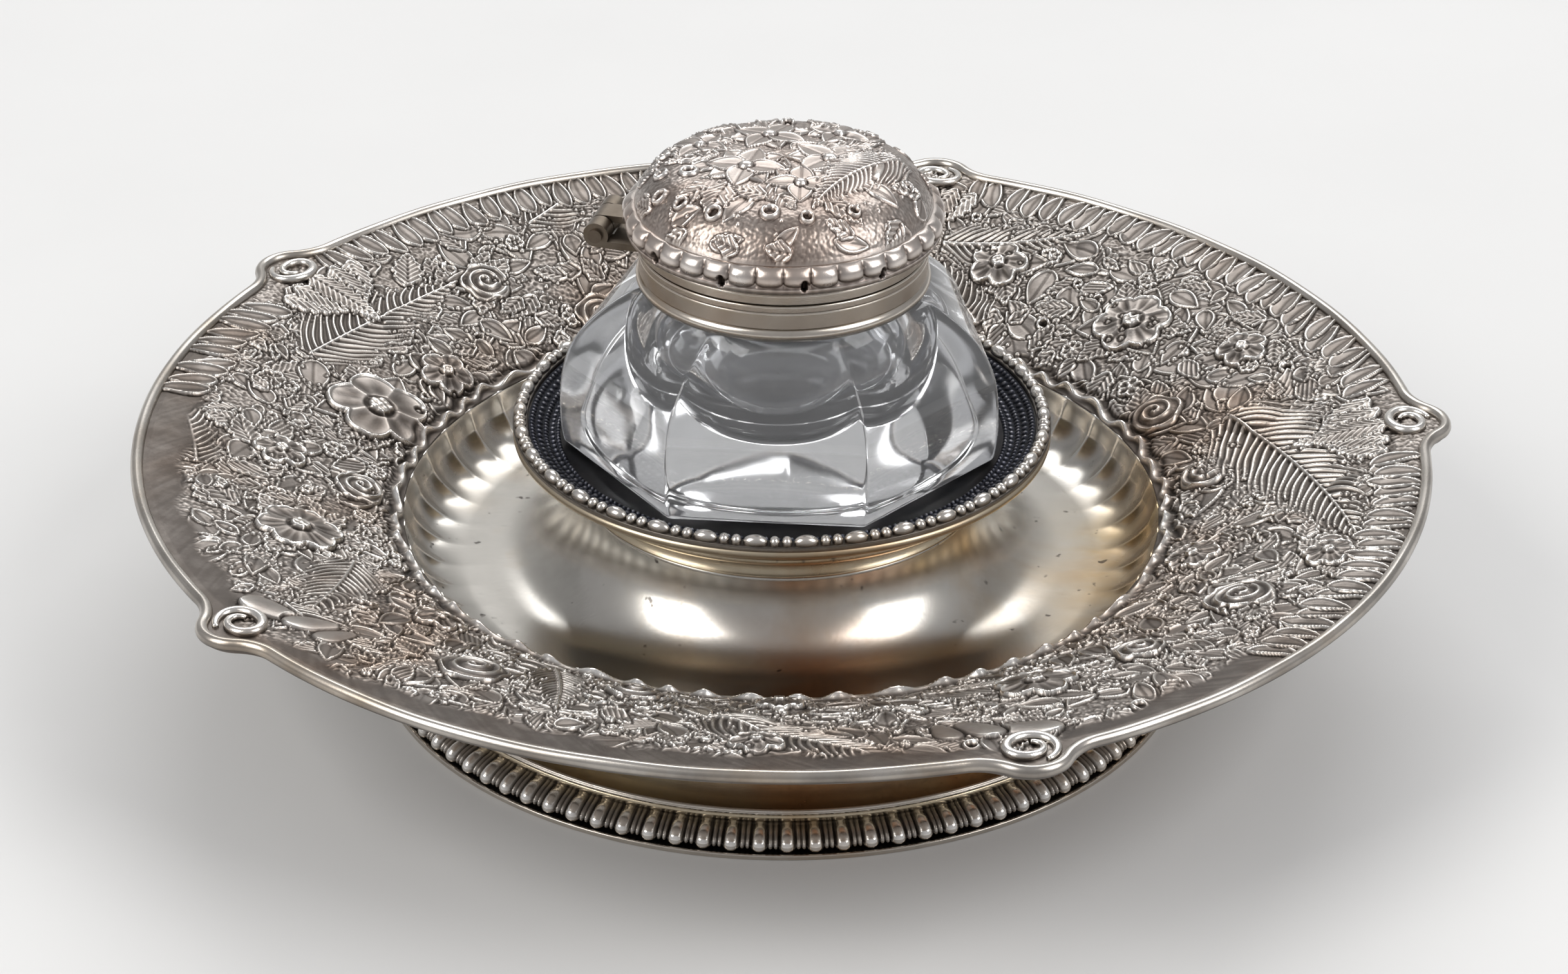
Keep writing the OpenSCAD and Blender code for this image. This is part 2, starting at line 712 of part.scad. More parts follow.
// Outer line of the lid's section, from the border's foot to the middle of the dome
function dome_at(r, down) = dome_low_h + dome_h - down - (r * r) / (2 * dome_top_r);
module lid_section(down) {
    edge_r = dome_r - down;
    intersection() {
        union() {
            translate([edge_r - dome_round_r, dome_at(edge_r - dome_round_r, down) - dome_round_r])
                circle(r = dome_round_r);
            translate([0, dome_low_h - lid_border_h])
                square([edge_r, dome_at(edge_r - dome_round_r, down) - dome_round_r
                    - dome_low_h + lid_border_h]);
            polygon(concat([[0, dome_low_h - lid_border_h],
                [edge_r - dome_round_r, dome_low_h - lid_border_h]],
                [for (i = [6 : -1 : 0]) let (r = (edge_r - dome_round_r) * i / 6)
                    [r, dome_at(r, down)]]));
        }
        translate([0, dome_low_h - lid_border_h]) square([dome_r, dome_h + 2 * lid_border_h]);
    }
}

module lid_border_section() {
    round_r = lid_border_h / 2;
    translate([lid_r - round_r, border_h + round_r]) circle(r = round_r, $fn = 48);
    translate([lid_cap_in_r, border_h])
        square([lid_r - round_r - lid_cap_in_r, lid_border_h]);
}

module lid_cap() {
    color([0.7, 0.68, 0.65])
        difference() {
            rotate_extrude($fn = 144)
                difference() {
                    union() {
                        lid_section(0);
                        lid_border_section();
                    }
                    intersection() {
                        lid_section(lid_t);
                        square([lid_cap_in_r, 2 * dome_low_h]);
                    }
                }
            for (i = [0 : lobes - 1])
                rotate((i + 0.5) * 360 / lobes)
                    translate([lid_r + notch_pass, 0, border_h - face_pass])
                        cylinder(r = lobe_notch_r, h = lid_border_h + 2 * face_pass, $fn = 24);
            for (i = [0 : punches - 1], s = [-1, 1])
                rotate(i * 360 / punches)
                    translate([lid_r - punch_d, 0, border_h + lid_border_h / 2 + s * punch_l / 2])
                        rotate([0, 90, 0]) cylinder(r = punch_r, h = 2 * face_pass, $fn = 24);
        }
}

module lid_band() {
    color([0.74, 0.69, 0.62])
        rotate_extrude($fn = 128)
            translate([collar_r - lid_band_t, lid_low_h]) square([lid_band_t, lid_band_h]);
}

module lid_lining() {
    out_r = collar_r - lid_band_t - solder_gap;
    low = lid_low_h + rest_gap;
    color([0.82, 0.78, 0.7])
        rotate_extrude($fn = 128) {
            translate([0, low]) square([out_r, lining_t]);
            translate([out_r - lining_t, low]) square([lining_t, border_h - low]);
        }
}

module lid_hinge_leaf() {
    side_l = (hinge_l - mid_knuckle_l) / 2 - knuckle_play;
    side_at = (hinge_l - side_l) / 2;
    low = pin_h + knuckle_r - leaf_t;
    color([0.62, 0.55, 0.45])
        rotate(hinge_turn) {
            knuckle(mid_knuckle_l, 0);
            difference() {
                translate([0, -mid_knuckle_l / 2, low]) cube([hinge_r, mid_knuckle_l, leaf_t]);
                translate([0, 0, low - face_pass])
                    cylinder(r = collar_r + solder_gap, h = leaf_t + 2 * face_pass, $fn = 128);
                translate([hinge_r, 0, pin_h])
                    rotate([90, 0, 0])
                        cylinder(r = pin_bore_r, h = mid_knuckle_l + 2 * face_pass, center = true, $fn = 48);
            }
        }
}

tray_dish();
tray_rim_wire();
rim_scrolls();
foot_skirt();
foot_fillet_wire();
foot_gadroon_ring();
foot_base_ring();
stand_spool();
stand_moulding();
gallery_cup();
gallery_band();
gallery_bead_wire();
glass_well();
neck_cement();
collar_bead_ring();
neck_collar();
collar_hinge_leaf();
hinge_pin();
lid_cap();
lid_band();
lid_lining();
lid_hinge_leaf();
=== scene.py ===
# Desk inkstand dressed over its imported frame. Sizes are in millimetres until a mesh is made.
from math import acos, atan2, cos, exp, pi, radians, sin, sqrt
import bpy
import numpy as np
from mathutils import Matrix, Vector


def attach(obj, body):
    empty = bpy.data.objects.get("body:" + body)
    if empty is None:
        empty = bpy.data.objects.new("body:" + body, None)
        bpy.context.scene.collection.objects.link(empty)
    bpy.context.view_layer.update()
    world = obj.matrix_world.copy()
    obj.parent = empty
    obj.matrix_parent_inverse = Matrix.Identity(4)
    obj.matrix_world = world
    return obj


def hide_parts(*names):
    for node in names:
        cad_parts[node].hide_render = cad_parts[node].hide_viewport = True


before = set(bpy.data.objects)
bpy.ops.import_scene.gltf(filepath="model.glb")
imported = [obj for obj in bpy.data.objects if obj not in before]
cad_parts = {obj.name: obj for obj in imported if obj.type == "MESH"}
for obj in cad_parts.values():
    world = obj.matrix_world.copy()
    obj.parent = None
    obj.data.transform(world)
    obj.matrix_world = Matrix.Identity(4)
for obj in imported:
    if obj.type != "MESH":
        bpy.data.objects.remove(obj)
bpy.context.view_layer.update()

MM = 0.001
TURN = 2 * pi

# Sizes shared with the part's source
rim_r = 102.0
point_out = 4.4
point_r = 6.5
point_blend_r = 8.0
points = 5
points_at = 2.3
points_turn = radians(points_at)
lip_h = 37.8
rim_h = 39.2
wire_w = 2.0
lip_in_r = 99.0
edge_r = 60.0
edge_h = 24.7
bulge = 1.5
sheet_t = 1.2
floor_h = 16.2
cove_r = 9.6
cove_mid_r = 50.4
floor_in_r = 45.2
boss_r = 31.5
boss_h = 29.0
flutes = 48
foot_r = 65.5
base_h = 0.9
ring_in_r = 60.1
foot_top_h = 4.6
flange_h = 5.6
flange_r = 61.7
skirt_mid_r = 60.3
skirt_mid_h = 15.0
skirt_r = 9.4
gadroons = 96
spool_top_h = 33.2
gallery_foot_h = 36.4
seat_h = 37.6
seat_r = 36.4
gallery_r = 42.4
gallery_in_r = 40.1
gallery_lip_h = 39.5
bead_top_h = 40.6
bead_line_r = 41.25
bead_groups = 34
glass_h = 37.9
panels = 7
panel_turn = radians(-68.5)
panel_mid_r = 7.1
panel_curve_r = 24.6
belly_h = 5.6
shoulder_h = 26.1
neck_r = 19.3
collar_r = 22.4
collar_in_r = 20.4
ring_low_h = 64.3
collar_low_h = 66.6
parting_h = 70.4
lid_low_h = 70.7
border_h = 73.1
lid_r = 25.0
lid_in_r = 20.5
dome_top_h = 84.9
dome_r = 23.4
dome_round_r = 9.0
dome_top_r = 90.0
lobes = 36
punches = 12


def ease(x, lo, hi):
    t = np.clip((x - lo) / (hi - lo), 0, 1)
    return t * t * (3 - 2 * t)


# Meshes
def angles(cols):
    return np.arange(cols) * TURN / cols


def around(r, z, az):
    """Points at each radius and height, in each direction az."""
    return np.stack([r * np.cos(az), r * np.sin(az), z + 0 * az], -1)


def spun(line, az):
    """Points of a line of (radius, height), in each direction az."""
    s = np.array(line, float)
    return around(s[:, :1], s[:, 1:2], az)


def gathered(*sets):
    """Several sets of points as one list."""
    return np.concatenate([np.reshape(s, (-1, 3)) for s in sets])


def flat(*sets):
    """Several sets of numbers as one list."""
    return np.concatenate([np.ravel(s) for s in sets])


def normals(p):
    """Unit normals to the left of a line."""
    d = np.gradient(p, axis=0)
    d /= np.linalg.norm(d, axis=1)[:, None]
    return np.stack([-d[:, 1], d[:, 0]], -1)


def shifted(p, normal, h):
    """Radius and height of a line's points, moved along its normals by h."""
    return p[:, :1] + normal[:, :1] * h, p[:, 1:2] + normal[:, 1:2] * h


def grid_faces(rows, cols, wrap_rows=False, wrap_cols=True):
    a, b = np.meshgrid(np.arange(rows if wrap_rows else rows - 1),
                       np.arange(cols if wrap_cols else cols - 1), indexing="ij")
    a2 = (a + 1) % rows
    b2 = (b + 1) % cols
    return np.stack([a * cols + b, a * cols + b2, a2 * cols + b2, a2 * cols + b], -1).reshape(-1, 4)


def fans(rows, cols):
    """Triangles that close a grid's first and last ring on the two points after it."""
    n = rows * cols
    j = np.arange(cols)
    j2 = (j + 1) % cols
    return gathered(np.stack([np.full(cols, n), j2, j], -1),
                    np.stack([np.full(cols, n + 1), n - cols + j, n - cols + j2], -1))


def volume_of(verts, faces):
    """Six times the volume under some faces, to tell which way they look."""
    p = verts[faces]
    return sum(np.einsum("ij,ij->i", p[:, 0], np.cross(p[:, k], p[:, k + 1])).sum()
               for k in range(1, faces.shape[1] - 1))


def make(name, verts, quads, body, material, nodes=(), tris=None, relief=None):
    """A smooth piece from points in millimetres, with its faces turned outwards."""
    verts = np.asarray(verts, float)
    tris = np.zeros((0, 3), int) if tris is None else np.asarray(tris)
    if volume_of(verts, quads) + volume_of(verts, tris) < 0:
        quads = quads[:, ::-1]
        tris = tris[:, ::-1]
    me = bpy.data.meshes.new(name)
    me.vertices.add(len(verts))
    me.vertices.foreach_set("co", (verts * MM).astype(np.float32).ravel())
    me.loops.add(4 * len(quads) + 3 * len(tris))
    me.loops.foreach_set("vertex_index", flat(quads, tris).astype(np.int32))
    me.polygons.add(len(quads) + len(tris))
    starts = flat(np.arange(len(quads)) * 4, 4 * len(quads) + np.arange(len(tris)) * 3)
    me.polygons.foreach_set("loop_start", starts.astype(np.int32))
    me.polygons.foreach_set("use_smooth", np.ones(len(starts), bool))
    me.update(calc_edges=True)
    me.validate()
    # The relief tone: patina and wear on most pieces, and painted highlight and shade on the wires, beads,
    # curls and gallery cup.
    if relief is not None:
        attribute = me.attributes.new("relief", "FLOAT", "POINT")
        attribute.data.foreach_set("value", np.asarray(relief, np.float32).ravel())
    me.materials.append(material)
    obj = bpy.data.objects.new(name, me)
    bpy.context.scene.collection.objects.link(obj)
    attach(obj, body)
    if nodes:
        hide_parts(*nodes)
    return obj


def rounded(section, radius, steps=4):
    """A closed section with its corners rounded."""
    out = []
    s = np.array(section, float)
    for i, p in enumerate(s):
        a, b = s[i - 1] - p, s[(i + 1) % len(s)] - p
        la, lb = np.linalg.norm(a), np.linalg.norm(b)
        cut = min(radius, 0.45 * la, 0.45 * lb)
        start, end = p + a / la * cut, p + b / lb * cut
        for t in np.arange(steps + 1) / steps:
            out.append(tuple((1 - t) ** 2 * start + 2 * t * (1 - t) * p + t * t * end))
    return out


def refined(section, longest):
    """The same closed section with no stretch longer than a given length."""
    out = []
    s = np.array(section)
    for i, a in enumerate(s):
        b = s[(i + 1) % len(s)]
        k = max(1, int(np.ceil(np.linalg.norm(b - a) / longest)))
        out += [tuple(a + (b - a) * j / k) for j in range(k)]
    return out


def lathe(name, section, body, material, nodes=(), cols=288, relief=None):
    """A ring turned from a closed section of (radius, height)."""
    make(name, gathered(spun(section, angles(cols))), grid_faces(len(section), cols, wrap_rows=True), body,
         material, nodes, relief=relief)


def arc(mid, r, start, end, n):
    return [(mid[0] + r * cos(x), mid[1] + r * sin(x)) for x in np.radians(np.linspace(start, end, n + 1))]


# Camera, fitted to the photograph's circles and panels
tilt = 0.540057
far = 678.7 * MM
pitch = 0.504821
yaw = 0.000704
roll = 0.0093477
eye = Vector((0, -far * cos(tilt), far * sin(tilt)))
ahead = Vector((sin(yaw) * cos(pitch), cos(yaw) * cos(pitch), -sin(pitch)))
side = Vector((cos(yaw), -sin(yaw), 0))
up = side.cross(ahead)
side_r = side * cos(roll) + up * sin(roll)
up_r = -side * sin(roll) + up * cos(roll)
camera = bpy.data.objects.new("camera", bpy.data.cameras.new("camera"))
bpy.context.scene.collection.objects.link(camera)
place = Matrix((side_r, up_r, -ahead)).transposed().to_4x4()
place.translation = eye
camera.matrix_world = place
camera.data.sensor_width = 36
camera.data.lens = 95.9
camera.data.clip_start = 0.01
camera.data.clip_end = 20
bpy.context.scene.camera = camera
bpy.context.scene.view_settings.view_transform = "Standard"


# Materials
class Look:
    """A material and the nodes that make it."""
    def __init__(self, name):
        self.material = bpy.data.materials.new(name)
        self.material.use_nodes = True
        self.new = self.material.node_tree.nodes.new
        self.link = self.material.node_tree.links.new
        self.shader = self.material.node_tree.nodes["Principled BSDF"].inputs

    def put(self, value, socket):
        """Sets a socket to a number or colour, or joins it to another socket."""
        if isinstance(value, tuple):
            socket.default_value = (*value, 1)
        elif isinstance(value, (int, float)):
            socket.default_value = value
        else:
            self.link(value, socket)

    def noise(self, scale, detail=4.0, rough=0.55, stretch=None, warp=0.0):
        at = self.new("ShaderNodeTexCoord").outputs["Object"]
        if stretch:
            m = self.new("ShaderNodeMapping")
            m.inputs["Scale"].default_value = stretch
            self.link(at, m.inputs["Vector"])
            at = m.outputs["Vector"]
        n = self.new("ShaderNodeTexNoise")
        for key, value in (("Scale", scale), ("Detail", detail), ("Roughness", rough), ("Distortion", warp)):
            n.inputs[key].default_value = value
        self.link(at, n.inputs["Vector"])
        return n.outputs["Fac"]

    def ramp(self, value, stops):
        r = self.new("ShaderNodeValToRGB")
        while len(r.color_ramp.elements) < len(stops):
            r.color_ramp.elements.new(0.5)
        for e, (at, colour) in zip(r.color_ramp.elements, stops):
            e.position = at
            e.color = (*colour, 1) if isinstance(colour, tuple) else (colour, colour, colour, 1)
        self.link(value, r.inputs["Fac"])
        return r.outputs["Color"]

    def sum_up(self, kind, *terms):
        """A clamped sum or product."""
        n = self.new("ShaderNodeMath")
        n.operation = kind
        n.use_clamp = True
        for value, socket in zip(terms, n.inputs):
            self.put(value, socket)
        return n.outputs[0]

    def centred(self, value, reach):
        """A value between 0 and 1 brought to between -reach / 2 and reach / 2."""
        n = self.new("ShaderNodeMath")
        n.operation = "MULTIPLY_ADD"
        for term, socket in zip((value, reach, -reach / 2), n.inputs):
            self.put(term, socket)
        return n.outputs[0]

    def mixed(self, factor, a, b, kind="MIX"):
        n = self.new("ShaderNodeMix")
        n.data_type = "RGBA"
        n.blend_type = kind
        for k, value in ((0, factor), (6, a), (7, b)):
            self.put(value, n.inputs[k])
        return n.outputs[2]

    def bump(self, height, strength, distance):
        n = self.new("ShaderNodeBump")
        n.inputs["Strength"].default_value = strength
        n.inputs["Distance"].default_value = distance
        self.link(height, n.inputs["Height"])
        self.link(n.outputs["Normal"], self.shader["Normal"])

    def stain_and_painted_reflection(self, tone, gates):
        """A warm patch where every gate opens, partly stain and partly a painted warm reflection; a gate is
        an axis, where it starts and where it is full.
        """
        before = self.shader["Base Color"].links[0].from_socket
        split = self.new("ShaderNodeSeparateXYZ")
        self.link(self.new("ShaderNodeTexCoord").outputs["Object"], split.inputs[0])
        amount = self.ramp(self.noise(60, 4, 0.6, warp=0.5), ((0.35, 0.35), (0.6, 1.0)))
        for axis, start, full in gates:
            k = 1 / (full - start)
            gate = self.sum_up("MULTIPLY_ADD", split.outputs[axis], k, -start * k)
            amount = self.sum_up("MULTIPLY", amount, gate)
        warm_tinted = self.mixed(1.0, before, tone, "MULTIPLY")
        self.link(self.mixed(amount, before, warm_tinted), self.shader["Base Color"])


def metal(name, stops, rough, tint=(0.5, 0.4, 0.28), tint_scale=28, grain=0.12, grain_scale=1500,
        relief=True,
          spots=0.0, stretch=None, stains_and_reflections=()):
    """Aged silver: colour by relief (on some pieces a painted highlight on top and painted shade below),
    then patches of tarnish, dark spots, a fine grain, and warm patches of stain and painted reflection.
    """
    look = Look(name)
    look.shader["Metallic"].default_value = 1
    fine = look.noise(grain_scale, 3, 0.6, stretch)
    broad = look.noise(tint_scale, 5, 0.6, warp=0.6)
    level = look.noise(tint_scale * 9, 4, 0.6)
    if relief:
        a = look.new("ShaderNodeAttribute")
        a.attribute_name = "relief"
        level = look.sum_up("ADD", a.outputs["Fac"], look.centred(level, 0.24))
    colour = look.ramp(level, stops)
    patch = look.ramp(broad, ((0.5, 0.0), (0.75, 1.0)))
    toned = look.mixed(patch, colour, look.mixed(1.0, colour, tint, "MULTIPLY"))
    if spots:
        dark = look.ramp(look.noise(420, 2, 0.5), ((0.0, 0.0), (0.70, 0.0), (0.76, spots)))
        toned = look.mixed(dark, toned, (0.05, 0.04, 0.035))
    look.link(toned, look.shader["Base Color"])
    r = look.ramp(level, ((0.0, rough[0]), (0.5, (rough[0] + rough[1]) / 2), (1.0, rough[1])))
    look.link(look.sum_up("ADD", r, look.centred(broad, 0.12)), look.shader["Roughness"])
    look.bump(fine, grain, 0.00008)
    for tone, gates in stains_and_reflections:
        look.stain_and_painted_reflection(tone, gates)
    return look.material


chased = metal("chased_silver", (
    (0.0, (0.020, 0.016, 0.013)), (0.28, (0.12, 0.104, 0.092)), (0.50, (0.33, 0.30, 0.275)),
    (0.72, (0.60, 0.57, 0.53)), (1.0, (0.94, 0.915, 0.88))), (0.5, 0.2), (0.74, 0.60, 0.50), grain=0.35,
    grain_scale=2200)
# The well's two warm patches are partly tarnish and partly a painted warm reflection, placed where that
# reflection falls.
well_silver = metal("well_silver", (
    (0.0, (0.10, 0.09, 0.08)), (0.4, (0.42, 0.40, 0.37)), (0.7, (0.58, 0.56, 0.52)),
    (1.0, (0.90, 0.88, 0.84))),
    (0.36, 0.16), (0.88, 0.76, 0.62), grain=0.08, spots=0.8, stains_and_reflections=(
        ((0.95, 0.58, 0.38), ((1, -0.028, -0.044), (0, -0.022, 0.004), (2, 0.028, 0.018))),
        ((0.90, 0.72, 0.45), ((0, 0.038, 0.052), (1, 0.022, 0.0)))))
plain_silver = metal("plain_silver", ((0.0, (0.44, 0.40, 0.35)), (1.0, (0.66, 0.61, 0.55))), (0.27, 0.18),
                     (0.84, 0.70, 0.55), grain=0.10, relief=False, stretch=(1, 1, 5))
warm_silver = metal("warm_silver", ((0.0, (0.40, 0.33, 0.23)), (1.0, (0.60, 0.52, 0.39))), (0.30, 0.2),
                    (0.85, 0.64, 0.44), grain=0.10, relief=False, stretch=(1, 1, 5), spots=0.5)
cup_silver = metal("cup_silver", (
    (0.0, (0.014, 0.014, 0.017)), (0.35, (0.07, 0.065, 0.06)), (0.6, (0.46, 0.39, 0.29)),
    (1.0, (0.60, 0.52, 0.39))), (0.5, 0.22), (0.85, 0.64, 0.44))
hinge_silver = metal("hinge_silver", ((0.0, (0.13, 0.11, 0.09)), (1.0, (0.34, 0.30, 0.25))), (0.45, 0.3),
                     grain=0.15, relief=False, spots=0.6)
bright_silver = metal("bright_silver", (
    (0.0, (0.03, 0.025, 0.02)), (0.35, (0.26, 0.235, 0.21)), (0.65, (0.58, 0.545, 0.50)),
    (1.0, (0.92, 0.89, 0.85))), (0.4, 0.18), (0.86, 0.74, 0.60))
dark_silver = metal("dark_silver", (
    (0.0, (0.006, 0.007, 0.010)), (0.45, (0.03, 0.032, 0.042)), (0.8, (0.16, 0.16, 0.18)),
    (1.0, (0.50, 0.50, 0.52))), (0.5, 0.25), (0.7, 0.75, 0.95), grain=0.25)
lid_silver = metal("lid_silver", (
    (0.0, (0.03, 0.022, 0.018)), (0.28, (0.19, 0.16, 0.145)), (0.50, (0.42, 0.375, 0.345)),
    (0.75, (0.68, 0.63, 0.59)), (1.0, (0.94, 0.91, 0.88))), (0.45, 0.22), (0.84, 0.68, 0.58), grain=0.2,
    grain_scale=2600)
# The pin is coloured dark so its head reads as the hollow of the hinge's bore: painted shade.
pin_metal = metal("pin_metal", ((0.0, (0.10, 0.085, 0.07)), (1.0, (0.30, 0.26, 0.22))), (0.5, 0.35),
    grain=0.2,
                  relief=False)


def glass_material():
    look = Look("cut_glass")
    look.shader["Base Color"].default_value = (0.93, 0.94, 0.955, 1)
    look.shader["Transmission Weight"].default_value = 0.94
    look.shader["IOR"].default_value = 1.49
    look.link(look.ramp(look.noise(160, 5, 0.6, warp=0.4), ((0.35, 0.03), (0.8, 0.10))),
        look.shader["Roughness"])
    look.bump(look.noise(90, 2, 0.4), 0.05, 0.0004)
    return look.material


def plaster_material():
    look = Look("aged_plaster")
    tones = ((0.3, (0.56, 0.52, 0.44)), (0.7, (0.82, 0.79, 0.71)))
    look.link(look.ramp(look.noise(500, 5, 0.6), tones), look.shader["Base Color"])
    look.shader["Roughness"].default_value = 0.9
    look.bump(look.noise(1800, 4, 0.6), 0.5, 0.0002)
    return look.material


glass = glass_material()
plaster = plaster_material()

# The rim's five-pointed outline
blend_mid = rim_r + point_blend_r
tip_at = rim_r + point_out - point_r
reach = point_r + point_blend_r
blend_turn = acos((blend_mid ** 2 + tip_at ** 2 - reach ** 2) / (2 * blend_mid * tip_at))
blend_xy = np.array([blend_mid * cos(blend_turn), blend_mid * sin(blend_turn)])
touch = np.array([tip_at, 0]) + (blend_xy - np.array([tip_at, 0])) * point_r / reach
tip_turn = atan2(touch[1], touch[0])


def outline(az):
    """Radius of the rim's outer edge in the direction az."""
    step = TURN / points
    f = np.abs((az - points_turn + step / 2) % step - step / 2)
    tip = tip_at * np.cos(f) + np.sqrt(np.clip(point_r ** 2 - (tip_at * np.sin(f)) ** 2, 0, None))
    b = f - blend_turn
    drop = np.sqrt(np.clip(point_blend_r ** 2 - (blend_mid * np.sin(b)) ** 2, 0, None))
    return np.where(f < tip_turn, tip, np.where(f < blend_turn, blend_mid * np.cos(b) - drop, rim_r))


def rim_line(count, inset):
    """Points along the rim's outline, drawn in by a distance, closer together at the points."""
    fine = 20000
    spread = 25
    az = angles(fine)
    r = outline(az)
    p = np.stack([r * np.cos(az), r * np.sin(az)], -1)
    d = np.roll(p, -1, 0) - np.roll(p, 1, 0)
    for _ in range(3):
        d = (np.roll(d, spread, 0) + d + np.roll(d, -spread, 0)) / 3
    d /= np.linalg.norm(d, axis=1)[:, None]
    pick = np.arange(count) * fine // count
    return (p - np.stack([d[:, 1], -d[:, 0]], -1) * inset)[pick], d[pick]


def base_height(r):
    t = np.clip((r - edge_r) / (lip_in_r - edge_r), 0, 1.2)
    z = edge_h + t * (lip_h - edge_h) + 4 * bulge * t * (1 - t)
    return np.where(r > lip_in_r, lip_h, z)


# Relief drawn on a flat map of heights, seen from above
def filtered(values, step, width):
    """The map with detail finer than a width smoothed away."""
    f = np.fft.rfftfreq(values.shape[1], step)
    g = np.fft.fftfreq(values.shape[0], step)
    k = np.exp(-2 * (pi * width) ** 2 * (g[:, None] ** 2 + f[None, :] ** 2))
    return np.fft.irfft2(np.fft.rfft2(values) * k, s=values.shape)


def pebbles(shape, step, fine, coarse, seed_at):
    """Even, fine stippling as a punch leaves it."""
    raw = np.random.default_rng(seed_at).standard_normal(shape)
    raw = filtered(raw, step, fine) - filtered(raw, step, coarse)
    return np.clip(raw / raw.std(), -2, 2)


class Relief:
    def __init__(self, half, step, edge_w=0.2, edge_up=0.3):
        self.step = step
        self.axis = np.arange(-half, half + step / 2, step)
        self.half = half
        self.n = len(self.axis)
        self.h = np.zeros((self.n, self.n))
        self.edge_w = edge_w
        self.edge_up = edge_up

    def stamp(self, at, turn, size, draw, edge=1.0, sink=0.2):
        lo = [max(0, int((c - size + self.half) / self.step)) for c in at]
        hi = [min(self.n, int((c + size + self.half) / self.step) + 2) for c in at]
        if hi[0] <= lo[0] or hi[1] <= lo[1]:
            return
        x, y = np.meshgrid(self.axis[lo[0]:hi[0]] - at[0], self.axis[lo[1]:hi[1]] - at[1])
        c, s = cos(turn), sin(turn)
        top, inside = draw(x * c + y * s, -x * s + y * c)
        top = top + edge * self.edge_up * np.exp(-((inside - 1.3 * self.edge_w) / self.edge_w) ** 2)
        part = self.h[lo[1]:hi[1], lo[0]:hi[0]]
        mask = ease(inside, -1.7 * self.edge_w, -0.5 * self.edge_w)
        part += (-sink + (top + sink) * ease(inside, -0.5 * self.edge_w, 0.5 * self.edge_w) - part) * mask

    def finish(self, near_w, wide_w, near_k, wide_k, middle):
        """Adds the wear map: worn bright on what stands up, dark in what lies low."""
        near = self.h - filtered(self.h, self.step, near_w)
        wide = self.h - filtered(self.h, self.step, wide_w)
        self.wear = np.clip(middle + near_k * near + wide_k * wide, 0, 1)

    def read(self, table, x, y):
        fx = np.clip((x + self.half) / self.step, 0, self.n - 1.001)
        fy = np.clip((y + self.half) / self.step, 0, self.n - 1.001)
        ix, iy = fx.astype(int), fy.astype(int)
        fx, fy = fx - ix, fy - iy
        return ((table[iy, ix] * (1 - fx) + table[iy, ix + 1] * fx) * (1 - fy)
                + (table[iy + 1, ix] * (1 - fx) + table[iy + 1, ix + 1] * fx) * fy)


# Motifs: each returns its height and how far inside its edge a point lies
def blossom(size, petals, high=0.5, creases=3):
    def draw(u, v):
        rho = np.hypot(u, v)
        part = TURN / petals
        a = (np.arctan2(v, u) + part / 2) % part - part / 2
        reach = 0.40 * size * (1 + 0.25 * sin(part / 2))
        away = np.hypot(rho * np.cos(a) - 0.60 * size, rho * np.sin(a) * (0.40 * size / reach) ** 0.2)
        eye = 0.25 * size
        inside = np.maximum(reach - away, eye - rho)
        top = high * (0.25 + 0.75 * np.clip(away / reach, 0, 1) ** 1.7)
        top = top + 0.07 * np.cos(a * creases * petals) * ease(rho, eye, 0.6 * size)
        middle = high * (0.55 + 0.7 * np.sqrt(np.clip(1 - (rho / eye) ** 2, 0, 1)))
        middle = middle + 0.10 * np.cos(8 * u / eye) * np.cos(8 * v / eye)
        moat = 0.5 * high * np.exp(-((rho - 1.12 * eye) / (0.16 * eye + 0.1)) ** 2)
        return np.where(rho < eye, middle, top) - moat, inside
    return draw


def rose(size, high=0.55, turns=2.6):
    def draw(u, v):
        rho = np.hypot(u, v)
        a = np.arctan2(v, u)
        winding = (rho * turns / size - a / TURN) % 1.0
        inside = size * (1 + 0.06 * np.cos(5 * a + 0.7)) - rho
        top = high * (0.15 + 0.45 * np.sqrt(np.clip(1 - (rho / (1.15 * size)) ** 2, 0, 1)))
        top = top + 0.8 * high * np.exp(-((winding - 0.55) / 0.17) ** 2)
        return top - 0.25 * high * np.exp(-((winding - 0.05) / 0.12) ** 2), inside
    return draw


def leaf(length, width, bend=0.0, kind=0, high=0.3):
    """A pointed leaf: smooth and hollow, veined, or hatched."""
    def draw(u, v):
        t = np.clip(u / length, 0, 1)
        v = v - bend * length * t * t
        w = width * np.sin(pi * t ** 0.75) ** 0.9
        if kind == 1:
            w = w * (1 + 0.12 * np.cos(TURN * u / 1.9))
        inside = np.minimum(w - np.abs(v), np.minimum(u, length - u))
        q = np.clip(np.abs(v) / (w + 0.15), 0, 1)
        if kind == 0:
            return high * (0.15 + 0.6 * q * q) - 0.10 * np.exp(-(v / 0.2) ** 2), inside
        if kind == 1:
            ribs = 0.10 * np.cos(TURN * (u - 1.1 * np.abs(v)) / 1.15)
            return high * (0.9 - 0.5 * q) + ribs - 0.22 * np.exp(-(v / 0.2) ** 2), inside
        return high * 0.4 + 0.11 * np.cos(TURN * (0.35 * u + v) / 0.8), inside
    return draw


